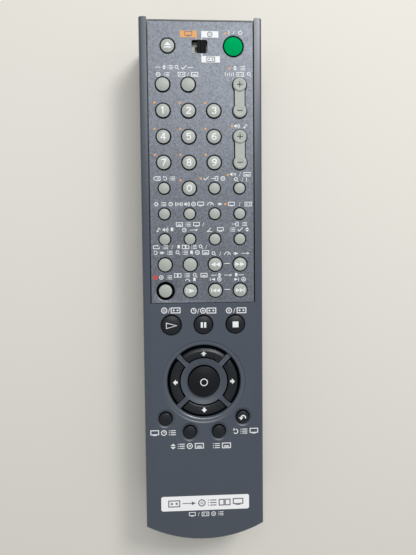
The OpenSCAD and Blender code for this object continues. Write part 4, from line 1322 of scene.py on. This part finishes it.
orange += bar(SCREEN_X - 7.0, SLOT_TOP + 0.8, SCREEN_X + 0.2, SLOT_TOP + 3.6)
orange += bar(SCREEN_X - 0.25, SLOT_TOP, SCREEN_X + 0.2, SLOT_TOP + 0.9)
disc_sign = bar(DISC_X - 0.2, SLOT_TOP + 0.8, DISC_X + 7.2, SLOT_TOP + 3.5)
disc_sign += bar(DISC_X - 0.2, SLOT_TOP, DISC_X + 0.2, SLOT_TOP + 0.9)
tape_sign = bar(DISC_X - 0.2, SLOT_BOTTOM - 3.6, DISC_X + 7.8, SLOT_BOTTOM - 0.9)
tape_sign += bar(DISC_X - 0.2, SLOT_BOTTOM - 1.0, DISC_X + 0.2, SLOT_BOTTOM)
switch_pictures = label(["screen"], SCREEN_X - 3.4, SLOT_TOP + 2.25)
switch_pictures += label(["disc"], DISC_X + 3.5, SLOT_TOP + 2.15)
switch_pictures += label(["tape"], DISC_X + 3.8, SLOT_BOTTOM - 2.25)
print("switch at:", round(SWITCH_X, 2), round(SWITCH_Y, 2))

# %% [markdown]
# ## All the ink on the plate and the case
# All marks of one ink on one surface are one piece, as one pass of the screen prints them.
# Both surfaces are level, so their height is the same everywhere.


# %% Ink on the plate and the case
def plate_height(x, y):
    """The plate is level."""
    return PANEL_Z


def face_height(x, y):
    """So is the key face."""
    return FACE_Z


printed("plate_labels", plate_white, plate_height, WHITE_INK, "case")
printed("plate_orange", orange, plate_height, ORANGE_INK, "case")
printed("plate_switch_signs", disc_sign + tape_sign, plate_height, WHITE_INK, "case")
printed("plate_switch_pictures", switch_pictures, plate_height, GREY_INK, "case",
        lift=2 * INK_LIFT)
printed("record_dot", record_dot, plate_height, RED_INK, "case")
printed("case_labels", case_white, face_height, WHITE_INK, "case")
print("faces of white ink:", len(plate_white) + len(case_white))

# %% [markdown]
# ## The white label
# Near the curved end sits a white label with rounded corners. It is a real layer, thick
# enough to catch an edge of light, so it is made as a thin slab, with its foot just clear
# of the key face.

# %% White label
LABEL_LOW = (-19.8, PAD.y - 58.7)
LABEL_HIGH = (19.9, PAD.y - 52.0)
LABEL_CORNER = 0.9
LABEL_CORNER_STEPS = 5
LABEL_T = 0.06
LABEL_FOOT = 0.005


def rounded_box(low, high, r):
    """The outline of a box with rounded corners, point by point."""
    points = []
    for cx, cy, start in ((high[0] - r, high[1] - r, 0), (low[0] + r, high[1] - r, 90),
                          (low[0] + r, low[1] + r, 180), (high[0] - r, low[1] + r, 270)):
        for i in range(LABEL_CORNER_STEPS + 1):
            a = math.radians(start + 90 * i / LABEL_CORNER_STEPS)
            points.append((cx + r * math.cos(a), cy + r * math.sin(a)))
    return points


bm = bmesh.new()
outline = rounded_box(LABEL_LOW, LABEL_HIGH, LABEL_CORNER)
top = [bm.verts.new((x * MM, y * MM, (FACE_Z + LABEL_T) * MM)) for x, y in outline]
foot = [bm.verts.new((x * MM, y * MM, (FACE_Z + LABEL_FOOT) * MM)) for x, y in outline]
bm.faces.new(top)
bm.faces.new(list(reversed(foot)))
for i in range(len(outline)):
    j = (i + 1) % len(outline)
    bm.faces.new((foot[i], foot[j], top[j], top[i]))
white_label = add_mesh("white_label", bm, LABEL_FINISH)
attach(white_label, "case")
print("label:", round(LABEL_HIGH[0] - LABEL_LOW[0], 1), "by",
      round(LABEL_HIGH[1] - LABEL_LOW[1], 1), "mm")

# %% [markdown]
# ## What is printed on the label
# The row on the label is larger than the others, in grey ink on white. It lies a hair over
# the slab, so that the two surfaces never fight for the same place.

# %% Pictograms on the label and under it
LABEL_Y = (LABEL_LOW[1] + LABEL_HIGH[1]) / 2
DRAWING = ["tape", "arrow", "disc", "list", "pictures", "screen"]
DRAWING_SHIFT, DRAWING_WIDTH, DRAWING_SCALE = 0.3, 34.0, 1.45
DRAWING_LIFT = LABEL_T + 0.01
FOOT_SIGNS = ["screen", "slash", "tape", "disc", "list"]
FOOT_SHIFT, FOOT_DROP, FOOT_WIDTH, FOOT_SCALE = 0.4, 5.2, 15.6, 0.9

drawing = label(DRAWING, DRAWING_SHIFT, LABEL_Y, DRAWING_WIDTH, DRAWING_SCALE)
foot_signs = label(FOOT_SIGNS, FOOT_SHIFT, LABEL_Y - FOOT_DROP, FOOT_WIDTH, FOOT_SCALE)
printed("white_label_drawing", drawing, face_height, GREY_INK, "case", lift=DRAWING_LIFT)
printed("case_foot_signs", foot_signs, face_height, WHITE_INK, "case")
print("drawing, mm wide:", round(width_of(drawing)[1] - width_of(drawing)[0], 1))
